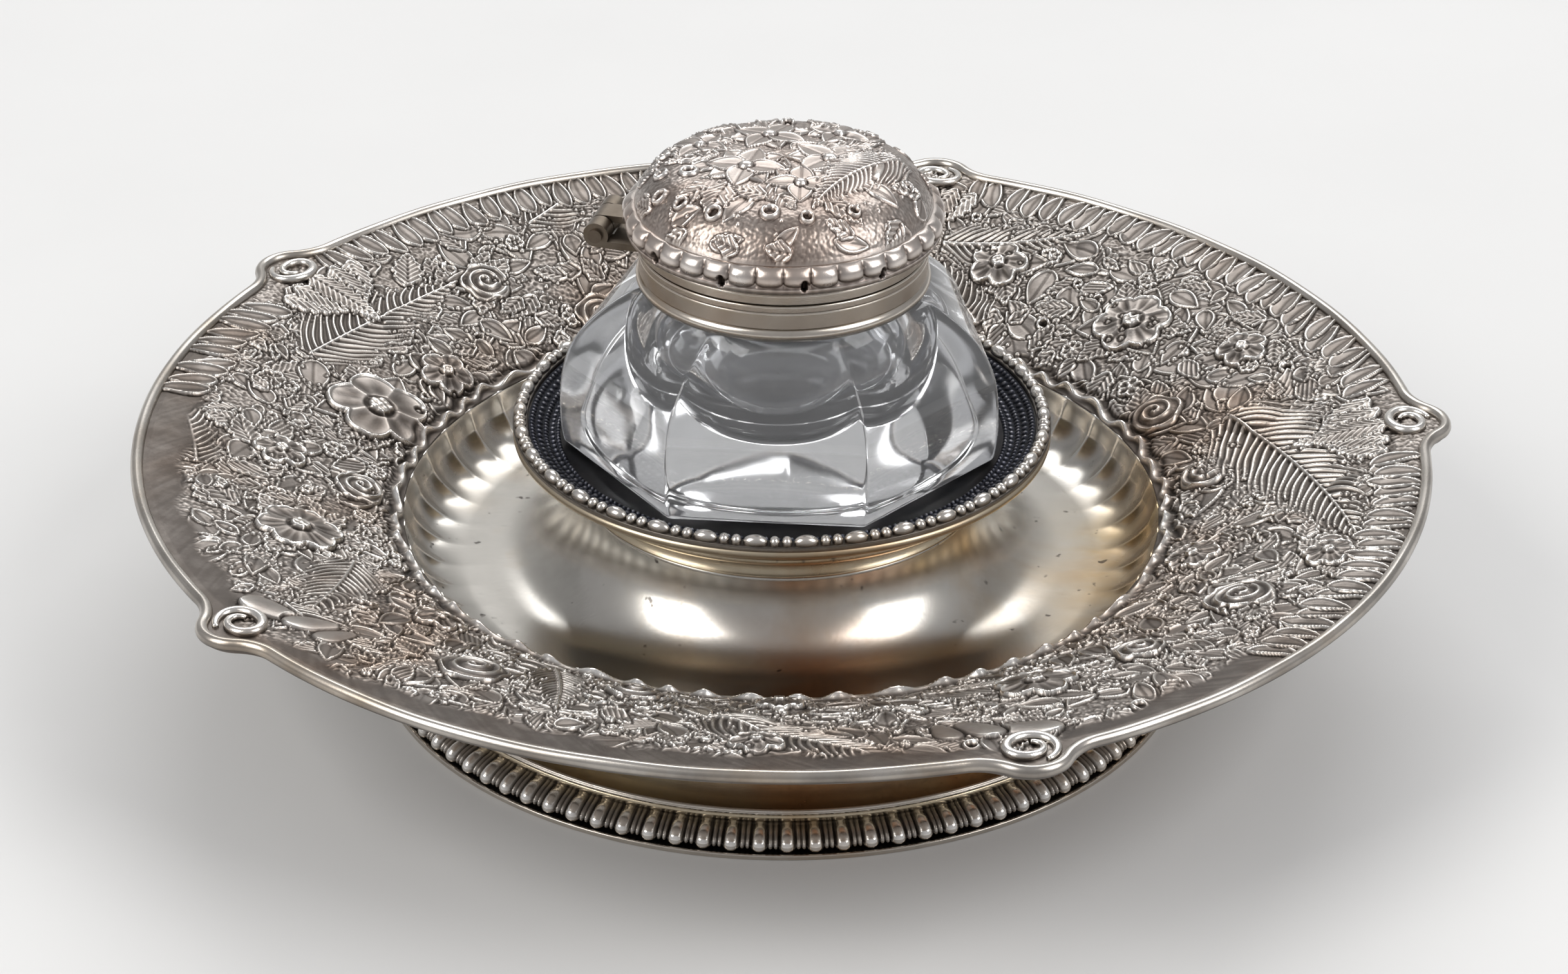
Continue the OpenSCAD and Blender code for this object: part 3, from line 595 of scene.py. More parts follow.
def fern(length, width, bend=0.0, pitch=1.3, high=0.42):
    """A frond of many fine curved leaflets on a thin spine."""
    def draw(u, v):
        t = np.clip(u / length, 0, 1)
        v = v - bend * length * t * t
        reach = width * (1 - t ** 2.0) * (0.5 + 0.5 * ease(t, 0.0, 0.2)) + 0.2
        q = np.abs(v) / reach
        lean = 0.75 * np.abs(v) + 0.6 * reach * q ** 2.4 + 0.22 * np.sin(0.9 * u + 1.3 * (v > 0))
        comb = 0.5 + 0.5 * np.cos(TURN * (u - lean) / pitch)
        own = np.sin(np.floor((u - lean) / pitch + 0.5) * 2.7 + 3 * (v > 0))
        ends = np.minimum(u + 0.3, length - u)
        inside = np.minimum(reach * (0.74 + 0.17 * own + 0.16 * comb) - np.abs(v), ends)
        top = high * (comb ** 1.3 * (1.0 - 0.35 * q * q) - 0.2)
        return np.maximum(top, high * 1.1 * np.exp(-(v / (0.34 - 0.14 * t)) ** 2)), inside
    return draw


def dot(r, high=0.4):
    def draw(u, v):
        q = np.hypot(u, v) / r
        return high * np.sqrt(np.clip(1 - q * q, 0, 1)), (1 - q) * r
    return draw


def pod(r, high=0.4):
    """A ring round a dark hollow, with a bead in it."""
    def draw(u, v):
        rho = np.hypot(u, v)
        ring = np.exp(-((rho - 0.70 * r) / (0.20 * r)) ** 2)
        return high * 1.3 * ring - 0.28 * (rho < 0.55 * r), r - rho
    return draw


def stroke(length, width, bend=0.25, high=0.9, taper=0.6):
    """A comma: full and smooth at its head, thin and curved at its tail."""
    def draw(u, v):
        t = np.clip(u / length, 0, 1)
        v = v - bend * length * t * t
        head = np.clip(u / (1.3 * width), 0, 1)
        w = width * np.sqrt(np.clip(1 - (1 - head) ** 2, 0, 1)) * (1 - t) ** taper
        inside = np.minimum(w - np.abs(v), np.minimum(u, length - u))
        return high * np.sqrt(np.clip(1 - (v / (w + 0.01)) ** 2, 0, 1)) * (1 - 0.4 * t), inside
    return draw


def polar(r, degrees):
    a = radians(degrees)
    return (r * cos(a), r * sin(a))


# Low domes of the border, as in the solid: share of the way out, direction and share of the width
raised = (
    (0.24, 162, 1), (0.18, 147, 0.55), (0.16, 22, 0.55), (0.56, 327, 0.75), (0.2, 3, 0.55), (0.44, 40, 0.85),
    (0.62, 25, 0.55), (0.42, 100, 0.9), (0.18, 118, 0.55), (0.2, 80, 0.55), (0.46, 198, 0.85),
    (0.18, 183, 0.55), (0.5, 236, 0.75), (0.2, 221, 0.55), (0.42, 299, 0.8), (0.18, 270, 0.55),
    (0.5, 62, 0.7), (0.2, 340, 0.6), (0.2, 60, 0.5), (0.22, 252, 0.6), (0.46, 144, 0.6), (0.5, 130, 0.65),
    (0.5, 116, 0.6), (0.46, 80, 0.65), (0.46, 12, 0.65), (0.5, 345, 0.7), (0.48, 312, 0.6),
    (0.46, 282, 0.65), (0.5, 266, 0.65), (0.52, 253, 0.5), (0.5, 217, 0.6), (0.5, 180, 0.6), (0.77, 14, 0.6),
    (0.77, 52, 0.65), (0.77, 88, 0.6), (0.77, 106, 0.65), (0.77, 124, 0.6), (0.77, 160, 0.6),
    (0.77, 176, 0.6), (0.77, 191, 0.6), (0.77, 207, 0.55), (0.77, 233, 0.55), (0.77, 250, 0.6),
    (0.77, 268, 0.6), (0.77, 306, 0.6), (0.77, 322, 0.55), (0.77, 337, 0.6), (0.77, 351, 0.55))
raised_h = 0.8
raised_w = 15.0


def swelling(x, y):
    """Height of the low domes that the solid carries under its flowers."""
    h = np.zeros_like(x)
    for share, degrees, size in raised:
        at = polar(edge_r + share * (lip_in_r - edge_r), degrees)
        half = size * raised_w / 2
        sunk = (half ** 2 - raised_h ** 2) / (2 * raised_h)
        rho2 = (x - at[0]) ** 2 + (y - at[1]) ** 2
        cap = np.sqrt(np.clip((sunk + raised_h) ** 2 - rho2, sunk ** 2, None)) - sunk
        h = np.maximum(h, np.where(rho2 < half * half, cap, 0))
    return h


border = Relief(108.0, 0.16)
gx, gy = np.meshgrid(border.axis, border.axis)
g_r = np.hypot(gx, gy)
g_az = np.arctan2(gy, gx)
g_in = outline(g_az) - g_r
border.h = 0.06 * pebbles(border.h.shape, border.step, 0.16, 0.7, 3)


def on_border(r, az, turn, size, draw, edge=1.0, sink=0.2):
    border.stamp(polar(r, az), radians(az + turn), size, draw, edge, sink)


# Small leaves, blossoms and pods in three layers, each finer than the last
flow = np.random.default_rng(21)
for count, scale in ((420, 1.25), (520, 1.0), (620, 0.8)):
    for _ in range(count):
        r = sqrt(flow.uniform(62.0 ** 2, 95.5 ** 2))
        degrees = flow.uniform(0, 360)
        size = flow.uniform(2.2, 4.4) * scale
        turn = degrees + 90 * flow.integers(0, 4) + flow.normal(0, 32)
        kind = flow.choice((0, 0, 1, 1, 2, 3, 4), p=(0.22, 0.2, 0.2, 0.1, 0.12, 0.08, 0.08))
        if kind == 3:
            draw = blossom(0.62 * size, int(flow.integers(5, 8)), 0.4)
        elif kind == 4:
            draw = pod(0.36 * size, 0.35)
        else:
            draw = leaf(2.1 * size, 0.62 * size, flow.uniform(-0.25, 0.25), int(kind),
                flow.uniform(0.15, 0.4))
        border.stamp(polar(r, degrees), radians(turn), 2.4 * size, draw)

# Sprays of leaves under the flowers, then ferns, then the flowers themselves
for r, az, turns, length, width in (
        (70, 162, (40, 95, 150, 215, 262, 318), 12.5, 3.6), (64, 22, (20, 75, 130, 200, 300), 9, 2.9),
        (82, 327, (30, 88, 140, 205, 265, 325), 10.5, 3.0), (77, 40, (10, 60, 120, 180, 240, 300), 11, 3.4),
        (76, 100, (15, 70, 125, 190, 250, 310), 11, 3.2), (78, 198, (5, 62, 120, 175, 240, 300), 11, 3.2),
        (80, 236, (20, 80, 140, 200, 260, 320), 10, 3.0), (76, 300, (0, 58, 115, 180, 240, 300), 10, 3.0),
        (80, 62, (30, 90, 160, 220, 280, 340), 10, 3.0),
        *((r, az, (60, 150, 230, 300), 8, 2.6) for r,
        az in ((90, 268), (84, 180), (80, 130), (90, 337), (90, 88)))):
    for k, turn in enumerate(turns):
        on_border(r, az, turn, length * 1.3,
                  leaf(length * (0.86 + 0.14 * (k % 2)), width, (-1) ** k * 0.16, k % 2, 0.4))
for r, az, turn, length, width, bend, pitch in (
        (82, 70, -84, 24, 6.0, 0.18, 1.6), (90, 120, -70, 28, 6.4, 0.14, 1.6),
        (72, 205, 62, 30, 6.2, -0.16, 1.6),
        (90, 216, 95, 24, 5.0, 0.12, 1.5), (68, 288, 74, 26, 5.6, 0.14, 1.6),
        (66, 240, 40, 22, 5.0, -0.12, 1.5),
        (92, 186, -88, 22, 5.0, 0.12, 1.6), (66, 60, 50, 22, 5.2, 0.16, 1.6),
        (78, 262, 58, 34, 7.0, 0.12, 1.7),
        (84, 158, -100, 36, 8.4, -0.10, 1.8)):
    on_border(r, az, turn, length * 1.3, fern(length, width, bend, pitch, 0.55), 0.35)
for r, az, turn, motif, size, *shape in (
        (69.4, 162, 20, blossom, 8.0, 5, 0.75, 2), (67, 147, 0, blossom, 4.4, 5, 0.6),
        (66.2, 22, 0, rose, 4.4), (81.8, 327, 0, rose, 5.4, 0.6, 3.2), (67.8, 3, 0, rose, 4.0),
        (77.2, 40, 12, blossom, 6.4, 6, 0.7), (84.2, 25, 0, blossom, 4.2, 5, 0.6),
        (76.4, 100, 8, blossom, 6.8, 5, 0.7), (67, 118, 0, rose, 4.2), (67.8, 80, 0, blossom, 4.2, 6),
        (77.9, 198, 0, blossom, 6.4, 6, 0.7), (67, 183, 0, rose, 3.8), (79.5, 236, 0, rose, 5.2),
        (67.8, 221, 0, blossom, 4.0, 5), (76.4, 299, 0, blossom, 6.0, 5, 0.7), (67, 270, 0, blossom, 3.8, 6),
        (79.5, 62, 0, blossom, 5.0, 5, 0.65), (67.8, 340, 0, blossom, 4.2, 6), (68.6, 252, 0, rose, 4.2),
        (90, 268, 0, blossom, 4.0, 5), (79.5, 180, 0, blossom, 4.2, 5), (79.5, 130, 0, rose, 4.2),
        (90, 337, 0, blossom, 4.0, 6), (90, 88, 0, blossom, 4.2, 5), (78.7, 312, 0, rose, 3.8)):
    on_border(r, az, turn, size * 1.3 + 1, motif(size, *shape))
on_border(75, 13, -75, 66, fern(50, 11.5, -0.20, 2.0, 0.65), 0.35)
on_border(82, 327, 0, 8, rose(5.4, 0.6, 3.2))
for _ in range(1300):
    r = sqrt(flow.uniform(61.5 ** 2, 95.0 ** 2))
    degrees = flow.uniform(0, 360)
    a = radians(degrees)
    if sin(7.3 * a + 0.21 * r) + sin(3.1 * a - 0.33 * r) > 0.2:
        small = flow.uniform(0.28, 0.55)
        border.stamp(polar(r, degrees), 0.0, 1.2, dot(small, 0.36), 0.0, 0.1)

# A nearly plain band inside the rim with faint strokes, narrow where leaves run out to the wire
wander = np.sin(5 * g_az + 1.0) + 0.7 * np.sin(11 * g_az + 2.0)
streaks = filtered(flow.standard_normal((4, 2400)), 1.0, 1.1)[0]
streaks /= streaks.std()
place = (g_az + pi + 0.012 * g_in + 0.008 * wander) / TURN * 2399 % 2399
feather = np.interp(place, np.arange(2400), streaks)
leafy = ease(np.sin(g_az + 0.42), -0.35, 0.05)
ragged = (1 - 0.8 * leafy) * (1.1 * wander + 0.8 * np.sin(41 * g_az))
rim_band = 1 - ease(g_in + ragged, 6.2 - 4.2 * leafy, 8.2 - 5.2 * leafy)
plain = 0.011 * feather * ease(g_in, 2.0, 4.5) - 0.05
border.h = border.h * (1 - rim_band) + plain * rim_band

# Leaves that sweep out to the wire, except at the points
step = 360 / points
for az in np.arange(-44, 172, 2.05):
    if abs((az - points_at + step / 2) % step - step / 2) < 5.5:
        continue
    slant = 30 + 16 * sin(radians(5 * az)) + flow.uniform(-9, 9)
    on_border(92.6 + flow.uniform(-0.9, 0.9), az, slant, 15,
              leaf(flow.uniform(8.2, 10.4), flow.uniform(1.5, 2.1), -0.34, 0, 0.55), 0.8, 0.24)

# The small torn-looking upturned edge of the well, and the shells by the scroll points
curl = 0.5 + 0.5 * np.cos(g_az * 58 + 1.3 * np.sin(7 * g_az) + 0.7 * np.sin(17 * g_az))
curl_mid = 60.7 + 1.0 * curl + 0.35 * np.sin(23 * g_az)
crest = np.exp(-((g_r - curl_mid) / 0.5) ** 2) * (0.35 + 0.95 * curl ** 1.5)
border.h = np.where(g_r < 63.2, np.maximum(border.h * ease(g_r, 61.2, 63.0), crest), border.h)
border.h -= 0.35 * np.exp(-((g_r - curl_mid - 1.35) / 0.5) ** 2) * (g_r < 64.5)
for k in range(points):
    az = points_at + step * k
    hand = 1 if k % 2 else -1
    if k < 3:
        for off, turn, length in ((-5.2, 152, 13), (5.2, -152, 13), (-2.9, 166, 15), (2.9, -166, 15),
                (0, 180, 16)):
            on_border(97.0 - 0.3 * abs(off), az + off, turn, length * 1.3,
                      leaf(length, 2.7, 0.14 * np.sign(off), 1, 0.85), 0.8, 0.25)
        continue
    for r, off, turn, length, width, bend, high in (
            (96.6, -3.6, 158, 8.6, 4.4, -0.55, 0.9), (94.0, 1.6, -176, 7.4, 3.6, -0.40, 0.75),
            (92.6, 5.4, -162, 6.6, 2.8, -0.3, 0.5)):
        on_border(r, az + hand * off, hand * turn, length * 1.4,
            stroke(length, width, hand * bend, high, 0.35),
                  0.0, 0.22)
border.finish(0.34, 1.5, 1.25, 0.62, 0.40)
border.wear = np.clip(border.wear + 0.3 * crest, 0, 1)
border.wear -= 0.10 * rim_band


def sector(k):
    """One of the border's pieces, with its plain back."""
    rows, cols, back_rows = 196, 331, 14
    az = points_turn + (k + np.linspace(0, 1, cols)) * TURN / border_bits
    t = np.linspace(0, 1, rows)[:, None]
    out_r = outline(az) - 0.9
    r = edge_r + t * (out_r - edge_r)[None, :]
    x, y = r * np.cos(az), r * np.sin(az)
    fade = ease(t, 0.0, 0.01) * (1 - ease(r, out_r - 1.2, out_r - 0.2))
    h = (border.read(border.h, x, y) + swelling(x, y)) * fade
    slope = (base_height(r + 0.1) - base_height(r - 0.1)) / 0.2
    slope = np.where(r > lip_in_r - 1, 0, slope)
    tip = 1 / np.sqrt(1 + slope ** 2)
    top = around(r - h * slope * tip, base_height(r) + h * tip, az)
    r = edge_r + 0.8 + np.linspace(1, 0, back_rows)[:, None] * (out_r - edge_r - 0.8)[None, :]
    make("border_%d" % (k + 1), gathered(top, around(r, base_height(r) - sheet_t, az)),
         grid_faces(rows + back_rows, cols, wrap_rows=True, wrap_cols=False), "tray", chased,
         ("tray_dish",), relief=flat(border.read(border.wear, x, y), np.full(back_rows * cols, 0.45)))


border_bits = 10
for k in range(border_bits):
    sector(k)


# The plain well with its fluted cove
def tray_well():
    inner_r = 20.0
    per_flute = 16
    run, drop = floor_in_r - boss_r, boss_h - floor_h
    cove_mid = (cove_mid_r, floor_h + cove_r)
    line = [(inner_r, boss_h)]
    line += [(boss_r + run * (1 - cos(a)), boss_h - drop * sin(a)) for a in np.radians(np.linspace(0, 90,
        26))]
    line += [(floor_in_r + s * (cove_mid_r - floor_in_r), floor_h) for s in (0.25, 0.5, 0.75)]
    line += arc(cove_mid, cove_r, -90, -28, 44)
    r, z = line[-1]
    line += [(r + s * (edge_r - r), z + s * (edge_h - z)) for s in np.linspace(0.1, 1, 12)]
    p = np.array(line)
    cols = flutes * per_flute
    az = angles(cols)
    ridge = (2 * np.abs((az * flutes / TURN) % 1.0 - 0.5)) ** 2.2
    rise = (p[:, 1] - floor_h) / (edge_h - floor_h)
    in_cove = p[:, 0] > cove_mid_r - 2.6
    depth = np.where(in_cove, 0.58 * ease(rise, -0.02, 0.25) * (1 - 0.5 * ease(rise, 0.75, 1.0)), 0)
    h = depth[:, None] * (ridge[None, :] - 0.62) * np.where(ridge > 0.5, 1.0, 1.15)[None, :]
    r, z = shifted(p, normals(p), h)
    z[-1] += 0.35 * (ridge - 0.3)
    wear = 0.6 + np.where(in_cove[:, None], 0.30 * (ridge[None, :] - 0.45) * ease(rise, 0, 0.3)[:, None], 0)
    wear[-3:] += 0.15
    under = [(61.0, edge_h - 1.4)] + arc(cove_mid, cove_r + 1.9, -40, -84,
        10) + [(floor_in_r, floor_h - sheet_t)]
    under += [(boss_r - sheet_t + (run + 0.6) * (1 - cos(a)), boss_h - sheet_t - drop * sin(a))
              for a in np.radians(np.linspace(80, 0, 12))]
    under += [(inner_r, boss_h - sheet_t)]
    verts = gathered(around(r, z, az), spun(under, az), [[0, 0, boss_h], [0, 0, boss_h - sheet_t]])
    rows = len(p) + len(under)
    make("tray_well", verts, grid_faces(rows, cols), "tray", well_silver, ("tray_dish",),
         fans(rows, cols), flat(wear, np.full(len(under) * cols + 2, 0.5)))


tray_well()


# Rim wire: a rounded wire along the outline, a little uneven as hand work is
def rim_wire():
    count, ring = 1800, 14
    half = wire_w / 2
    p, d = rim_line(count, half + 0.04)
    a = angles(ring)
    az = np.arctan2(p[:, 1], p[:, 0])
    uneven = 0.05 * np.sin(13 * az) + 0.04 * np.sin(31 * az + 1)
    w = half * np.cos(a)[None, :] * np.ones((count, 1))
    z = lip_h - 0.2 + (1.2 + uneven[:, None]) * np.clip(np.sin(a), -0.3, 1)[None, :]
    v = np.stack([p[:, :1] + d[:, 1:] * w, p[:, 1:] - d[:, :1] * w, np.minimum(z, rim_h)], -1)
    # Painted highlight along the wire's top and painted shade on its underside, with a slight tone change
    # along the wire.
    tone_with_painted_top_light = 0.38 + 0.26 * np.sin(a)[None, :] + 0.07 * np.sin(37 * az + 3 * np.sin(5 * az))[:, None]
    make("rim_wire", gathered(v), grid_faces(count, ring, wrap_rows=True), "tray", bright_silver,
         ("tray_rim_wire",), relief=tone_with_painted_top_light)


rim_wire()


def tube(line, radii, ring=14):
    """A closed tube along a line of points, thicker or thinner as it goes."""
    line = np.array(line, float)
    d = np.gradient(line, axis=0)
    d /= np.linalg.norm(d, axis=1)[:, None]
    across = np.cross(d, [0, 0, 1.0])
    across /= np.linalg.norm(across, axis=1)[:, None]
    over = np.cross(across, d)
    a = angles(ring)[None, :, None]
    v = line[:, None, :] + radii[:, None, None] * (np.cos(a) * across[:, None, :] + np.sin(a) * over[:,
        None, :])
    n = len(line)
    # Each curl is painted lighter on top and darker underneath: painted highlight and shade.
    tone_with_painted_top_light = np.repeat(0.58 + 0.36 * np.sin(a), n, 0)
    return gathered(v, line[0], line[-1]), grid_faces(n, ring), fans(n, ring), flat(tone_with_painted_top_light, (0.7, 0.7))


def joined(name, parts, body, material, nodes=()):
    """One piece from several (points, quads, triangles, relief)."""
    starts = np.cumsum([0] + [len(part[0]) for part in parts])
    verts, quads, tris, relief = zip(*parts)
    make(name, np.concatenate(verts), np.concatenate([q + at for q, at in zip(quads, starts)]), body,
        material,
         nodes, np.concatenate([t + at for t, at in zip(tris, starts)]), flat(*relief))


# Five soft curls on the points of the rim, each running in to its eye
def rim_scrolls():
    parts = []
    t = np.linspace(0, 1, 96)
    a = np.radians(-20 - 490 * t)
    r = 3.7 - 2.3 * t
    radii = (1.05 - 0.45 * t) * np.sin(pi * np.linspace(0.06, 0.9, 96)) ** 0.5
    for k in range(points):
        turn = points_turn + TURN * k / points
        hand = 1 if k % 2 else -1
        x, y = tip_at - 0.4 + r * np.cos(a), hand * r * np.sin(a) * 1.2
        line = [x * cos(turn) - y * sin(turn), x * sin(turn) + y * cos(turn), lip_h + 0.1 + 0.25 * t]
        parts.append(tube(np.stack(line, -1), radii))
    joined("rim_volutes", parts, "tray", chased, ("rim_scrolls",))


rim_scrolls()


# Foot: gadroons with two thin ribs between them, over plain turned rings
def gadroon_ring():
    per = 22
    cols = gadroons * per
    az = angles(cols)
    f = (np.arange(cols) % per) / per
    outer = np.array([(64.55, 0.9), (65.0, 1.15), (65.25, 1.6), (65.3, 2.1), (65.05, 2.65), (64.5, 3.2),
        (63.75, 3.7),
                      (62.9, 4.15), (62.1, 4.45), (61.75, 4.6)])
    p = np.array([(1 - t) * a + t * b for a, b in zip(outer, outer[1:]) for t in (0, 1 / 3,
        2 / 3)] + [outer[-1]])
    s = np.linspace(0, 1, len(p))[:, None]
    lobe = np.sqrt(np.clip(1 - ((f - 0.32) / (0.30 - 0.06 * s)) ** 2, 0, 1))
    ribs = [np.sqrt(np.clip(1 - ((f - at) / 0.085) ** 2, 0, 1)) * 0.55 for at in (0.72, 0.92)]
    shape = np.maximum(lobe, np.maximum(*ribs))
    round_end = np.where(s < 0.16, np.sqrt(np.clip(1 - (1 - s / 0.16) ** 2, 0, 1)), 1)
    r, z = shifted(p, -normals(p), shape * (1.05 * round_end * (1 - 0.55 * ease(s, 0.55, 1.0))) - 1.0)
    wear = 0.02 + 0.92 * shape * (0.5 + 0.5 * round_end)
    inner = [(60.2, foot_top_h), (60.1, 4.5), (60.1, 1.0), (60.2, base_h)]
    make("foot_gadroons", gathered(around(r, np.maximum(z, base_h), az), spun(inner, az)),
         grid_faces(len(p) + len(inner), cols, wrap_rows=True), "tray", bright_silver,
         ("foot_gadroon_ring",), relief=flat(wear, np.full(len(inner) * cols, 0.5)))


gadroon_ring()
base = rounded([(ring_in_r, 0), (foot_r, 0), (foot_r, base_h), (ring_in_r, base_h)], 0.3)
lathe("foot_base", refined(base, 1.5), "tray", plain_silver, ("foot_base_ring",))
skirt = arc((skirt_mid_r, skirt_mid_h), skirt_r, 180, 268, 40) + [(flange_r, flange_h),
    (flange_r, foot_top_h)]
skirt += arc((skirt_mid_r, skirt_mid_h), skirt_r + 1.0, 270, 180, 40)
lathe("foot_cove", skirt, "tray", warm_silver, ("foot_skirt",), 360)
wire = [(flange_r, flange_h), (flange_r, flange_h + 0.4)] + arc((flange_r - 0.4, flange_h + 0.4), 0.4, 0,
    180, 12)
lathe("foot_fillet", wire + [(flange_r - 0.8, flange_h)], "tray", plain_silver,
      ("foot_fillet_wire",), 360)

# Stand under the gallery
spool = [(28.6, boss_h), (31.7, boss_h)] + arc((34.0, 31.1), 2.9, 225, 135, 16)
spool += [(31.7, spool_top_h), (28.6, spool_top_h)]
lathe("stand_neck", spool, "tray", warm_silver, ("stand_spool",))
reeds = [(29.1, spool_top_h), (35.2, spool_top_h)] + arc((35.2, spool_top_h + 0.8), 0.8, -90, 80, 12)
reeds += arc((35.2, spool_top_h + 2.4), 0.8, -80, 90, 12) + [(29.1, gallery_foot_h)]
lathe("stand_reeds", reeds, "tray", warm_silver, ("stand_moulding",), 360)
# Each corner of the gallery's cup, with its tone: the top darkens inwards to near black under the glass, a
# painted shade
cup = ((0.5, gallery_foot_h, 0.6), (seat_r - 0.3, gallery_foot_h, 0.6),
    (seat_r + 0.3, gallery_foot_h + 0.12, 0.6),
       (gallery_in_r, gallery_lip_h - 1.2, 0.62), (gallery_r - 0.1, gallery_lip_h - 1.2, 0.65),
       (gallery_r, gallery_lip_h - 1.1, 0.65), (gallery_r, gallery_lip_h - 0.05, 0.65),
       (gallery_in_r, gallery_lip_h, 0.3), (seat_r, seat_h, 0.05), (0.5, seat_h, 0.05))
lathe("gallery_dish", cup, "tray", cup_silver, ("gallery_cup",), 360,
      np.repeat([corner[2] for corner in cup], 360))


# Die-stamped band: rows of beads and ovals standing on a blackened ground
def stamped_band():
    cols, rows = 1320, 44
    mid_r = 38.4
    az = angles(cols)
    t = np.linspace(0, 1, rows)[:, None]
    r0, r1 = seat_r - 1.45, gallery_in_r - 0.15
    z0, z1 = seat_h + 0.05 + 0.15, gallery_lip_h + 0.30
    r = r0 + t * (r1 - r0) + 0 * az
    h = np.zeros_like(r)
    for at, pitch, size, wide, shift in ((0.08, 1.05, 0.36, 0.36, 0.3), (0.25, 1.55, 0.46, 0.575, 0.0),
                                         (0.45, 1.05, 0.40, 0.40, 0.4), (0.66, 1.55, 0.50, 0.50, 0.2),
                                         (0.88, 1.05, 0.42, 0.42, 0.7)):
        q = ((az[None, :] * round(TURN * mid_r / pitch) / TURN + shift) % 1.0 - 0.5) * pitch
        w = (t - at) * (r1 - r0) * 1.12
        h = np.maximum(h, 0.42 * np.sqrt(np.clip(1 - (q / wide) ** 2 - (w / size) ** 2, 0, 1)))
    clump = 0.6 + 0.4 * np.sin(az * 41)[None, :] * np.sin(9 * t + 1)
    h = h * (0.6 + 0.4 * clump)
    bend_t = (seat_r - r0) / (r1 - r0)
    z = z0 + np.clip((t - bend_t) / (1 - bend_t), 0, 1) * (z1 - z0) + h
    back = [(r1, z1 - 0.5), (seat_r, seat_h + 0.02), (r0, seat_h + 0.02)]
    make("stamped_band", gathered(around(r, z, az), spun(back, az)),
        grid_faces(rows + 3, cols, wrap_rows=True),
         "tray", dark_silver, ("gallery_band",),
         relief=flat(0.12 + 2.0 * h, np.full(3 * cols, 0.3)))


stamped_band()


def ball(r, turn, size, segs=18, rings=11):
    """A bead on the gallery's lip: an ellipsoid with half-lengths size, at a radius and direction."""
    a = angles(segs)
    b = np.linspace(-pi / 2, pi / 2, rings + 2)[1:-1][:, None]
    ends = np.array([-1, 1])
    x = flat(np.cos(b) * np.cos(a) * size[0], 0 * ends)
    y = flat(np.sin(b) * np.ones(segs) * size[1], ends * size[1])
    z = flat(np.cos(b) * np.sin(a) * size[2], 0 * ends)
    c, s = cos(turn), sin(turn)
    v = np.stack([r * c + x * c - y * s, r * s + x * s + y * c, bead_top_h + 0.05 + z], -1)
    # Each bead's tone is lighter on top and darker underneath: painted highlight and shade.
    return v, grid_faces(rings, segs), fans(rings, segs), np.clip(0.46 + 0.42 * z / size[2], 0, 1)


def bead_wire():
    cols = 360
    top = bead_top_h - 0.25
    band = rounded([(gallery_in_r, gallery_lip_h), (gallery_r, gallery_lip_h), (gallery_r, top),
        (gallery_in_r, top)],
                   0.25)
    # The band's top face, hidden under the beads, gets a dark tone: painted shade between the beads.
    dark = np.repeat([0.12 if z > bead_top_h - 0.4 else 0.45 for r, z in band], cols)
    parts = [(gathered(spun(band, angles(cols))), grid_faces(len(band), cols, wrap_rows=True),
              np.zeros((0, 3), int), dark)]
    for i in range(bead_groups):
        mid = TURN * i / bead_groups
        parts.append(ball(bead_line_r, mid, (1.08, 1.85, 1.12), 20, 15))
        for k in (-1, 1):
            parts.append(ball(bead_line_r, mid + TURN / bead_groups / 2 + k * radians(1.28),
                (0.98, 0.8, 0.98)))
    joined("gallery_beads", parts, "tray", bright_silver, ("gallery_bead_wire",))


bead_wire()


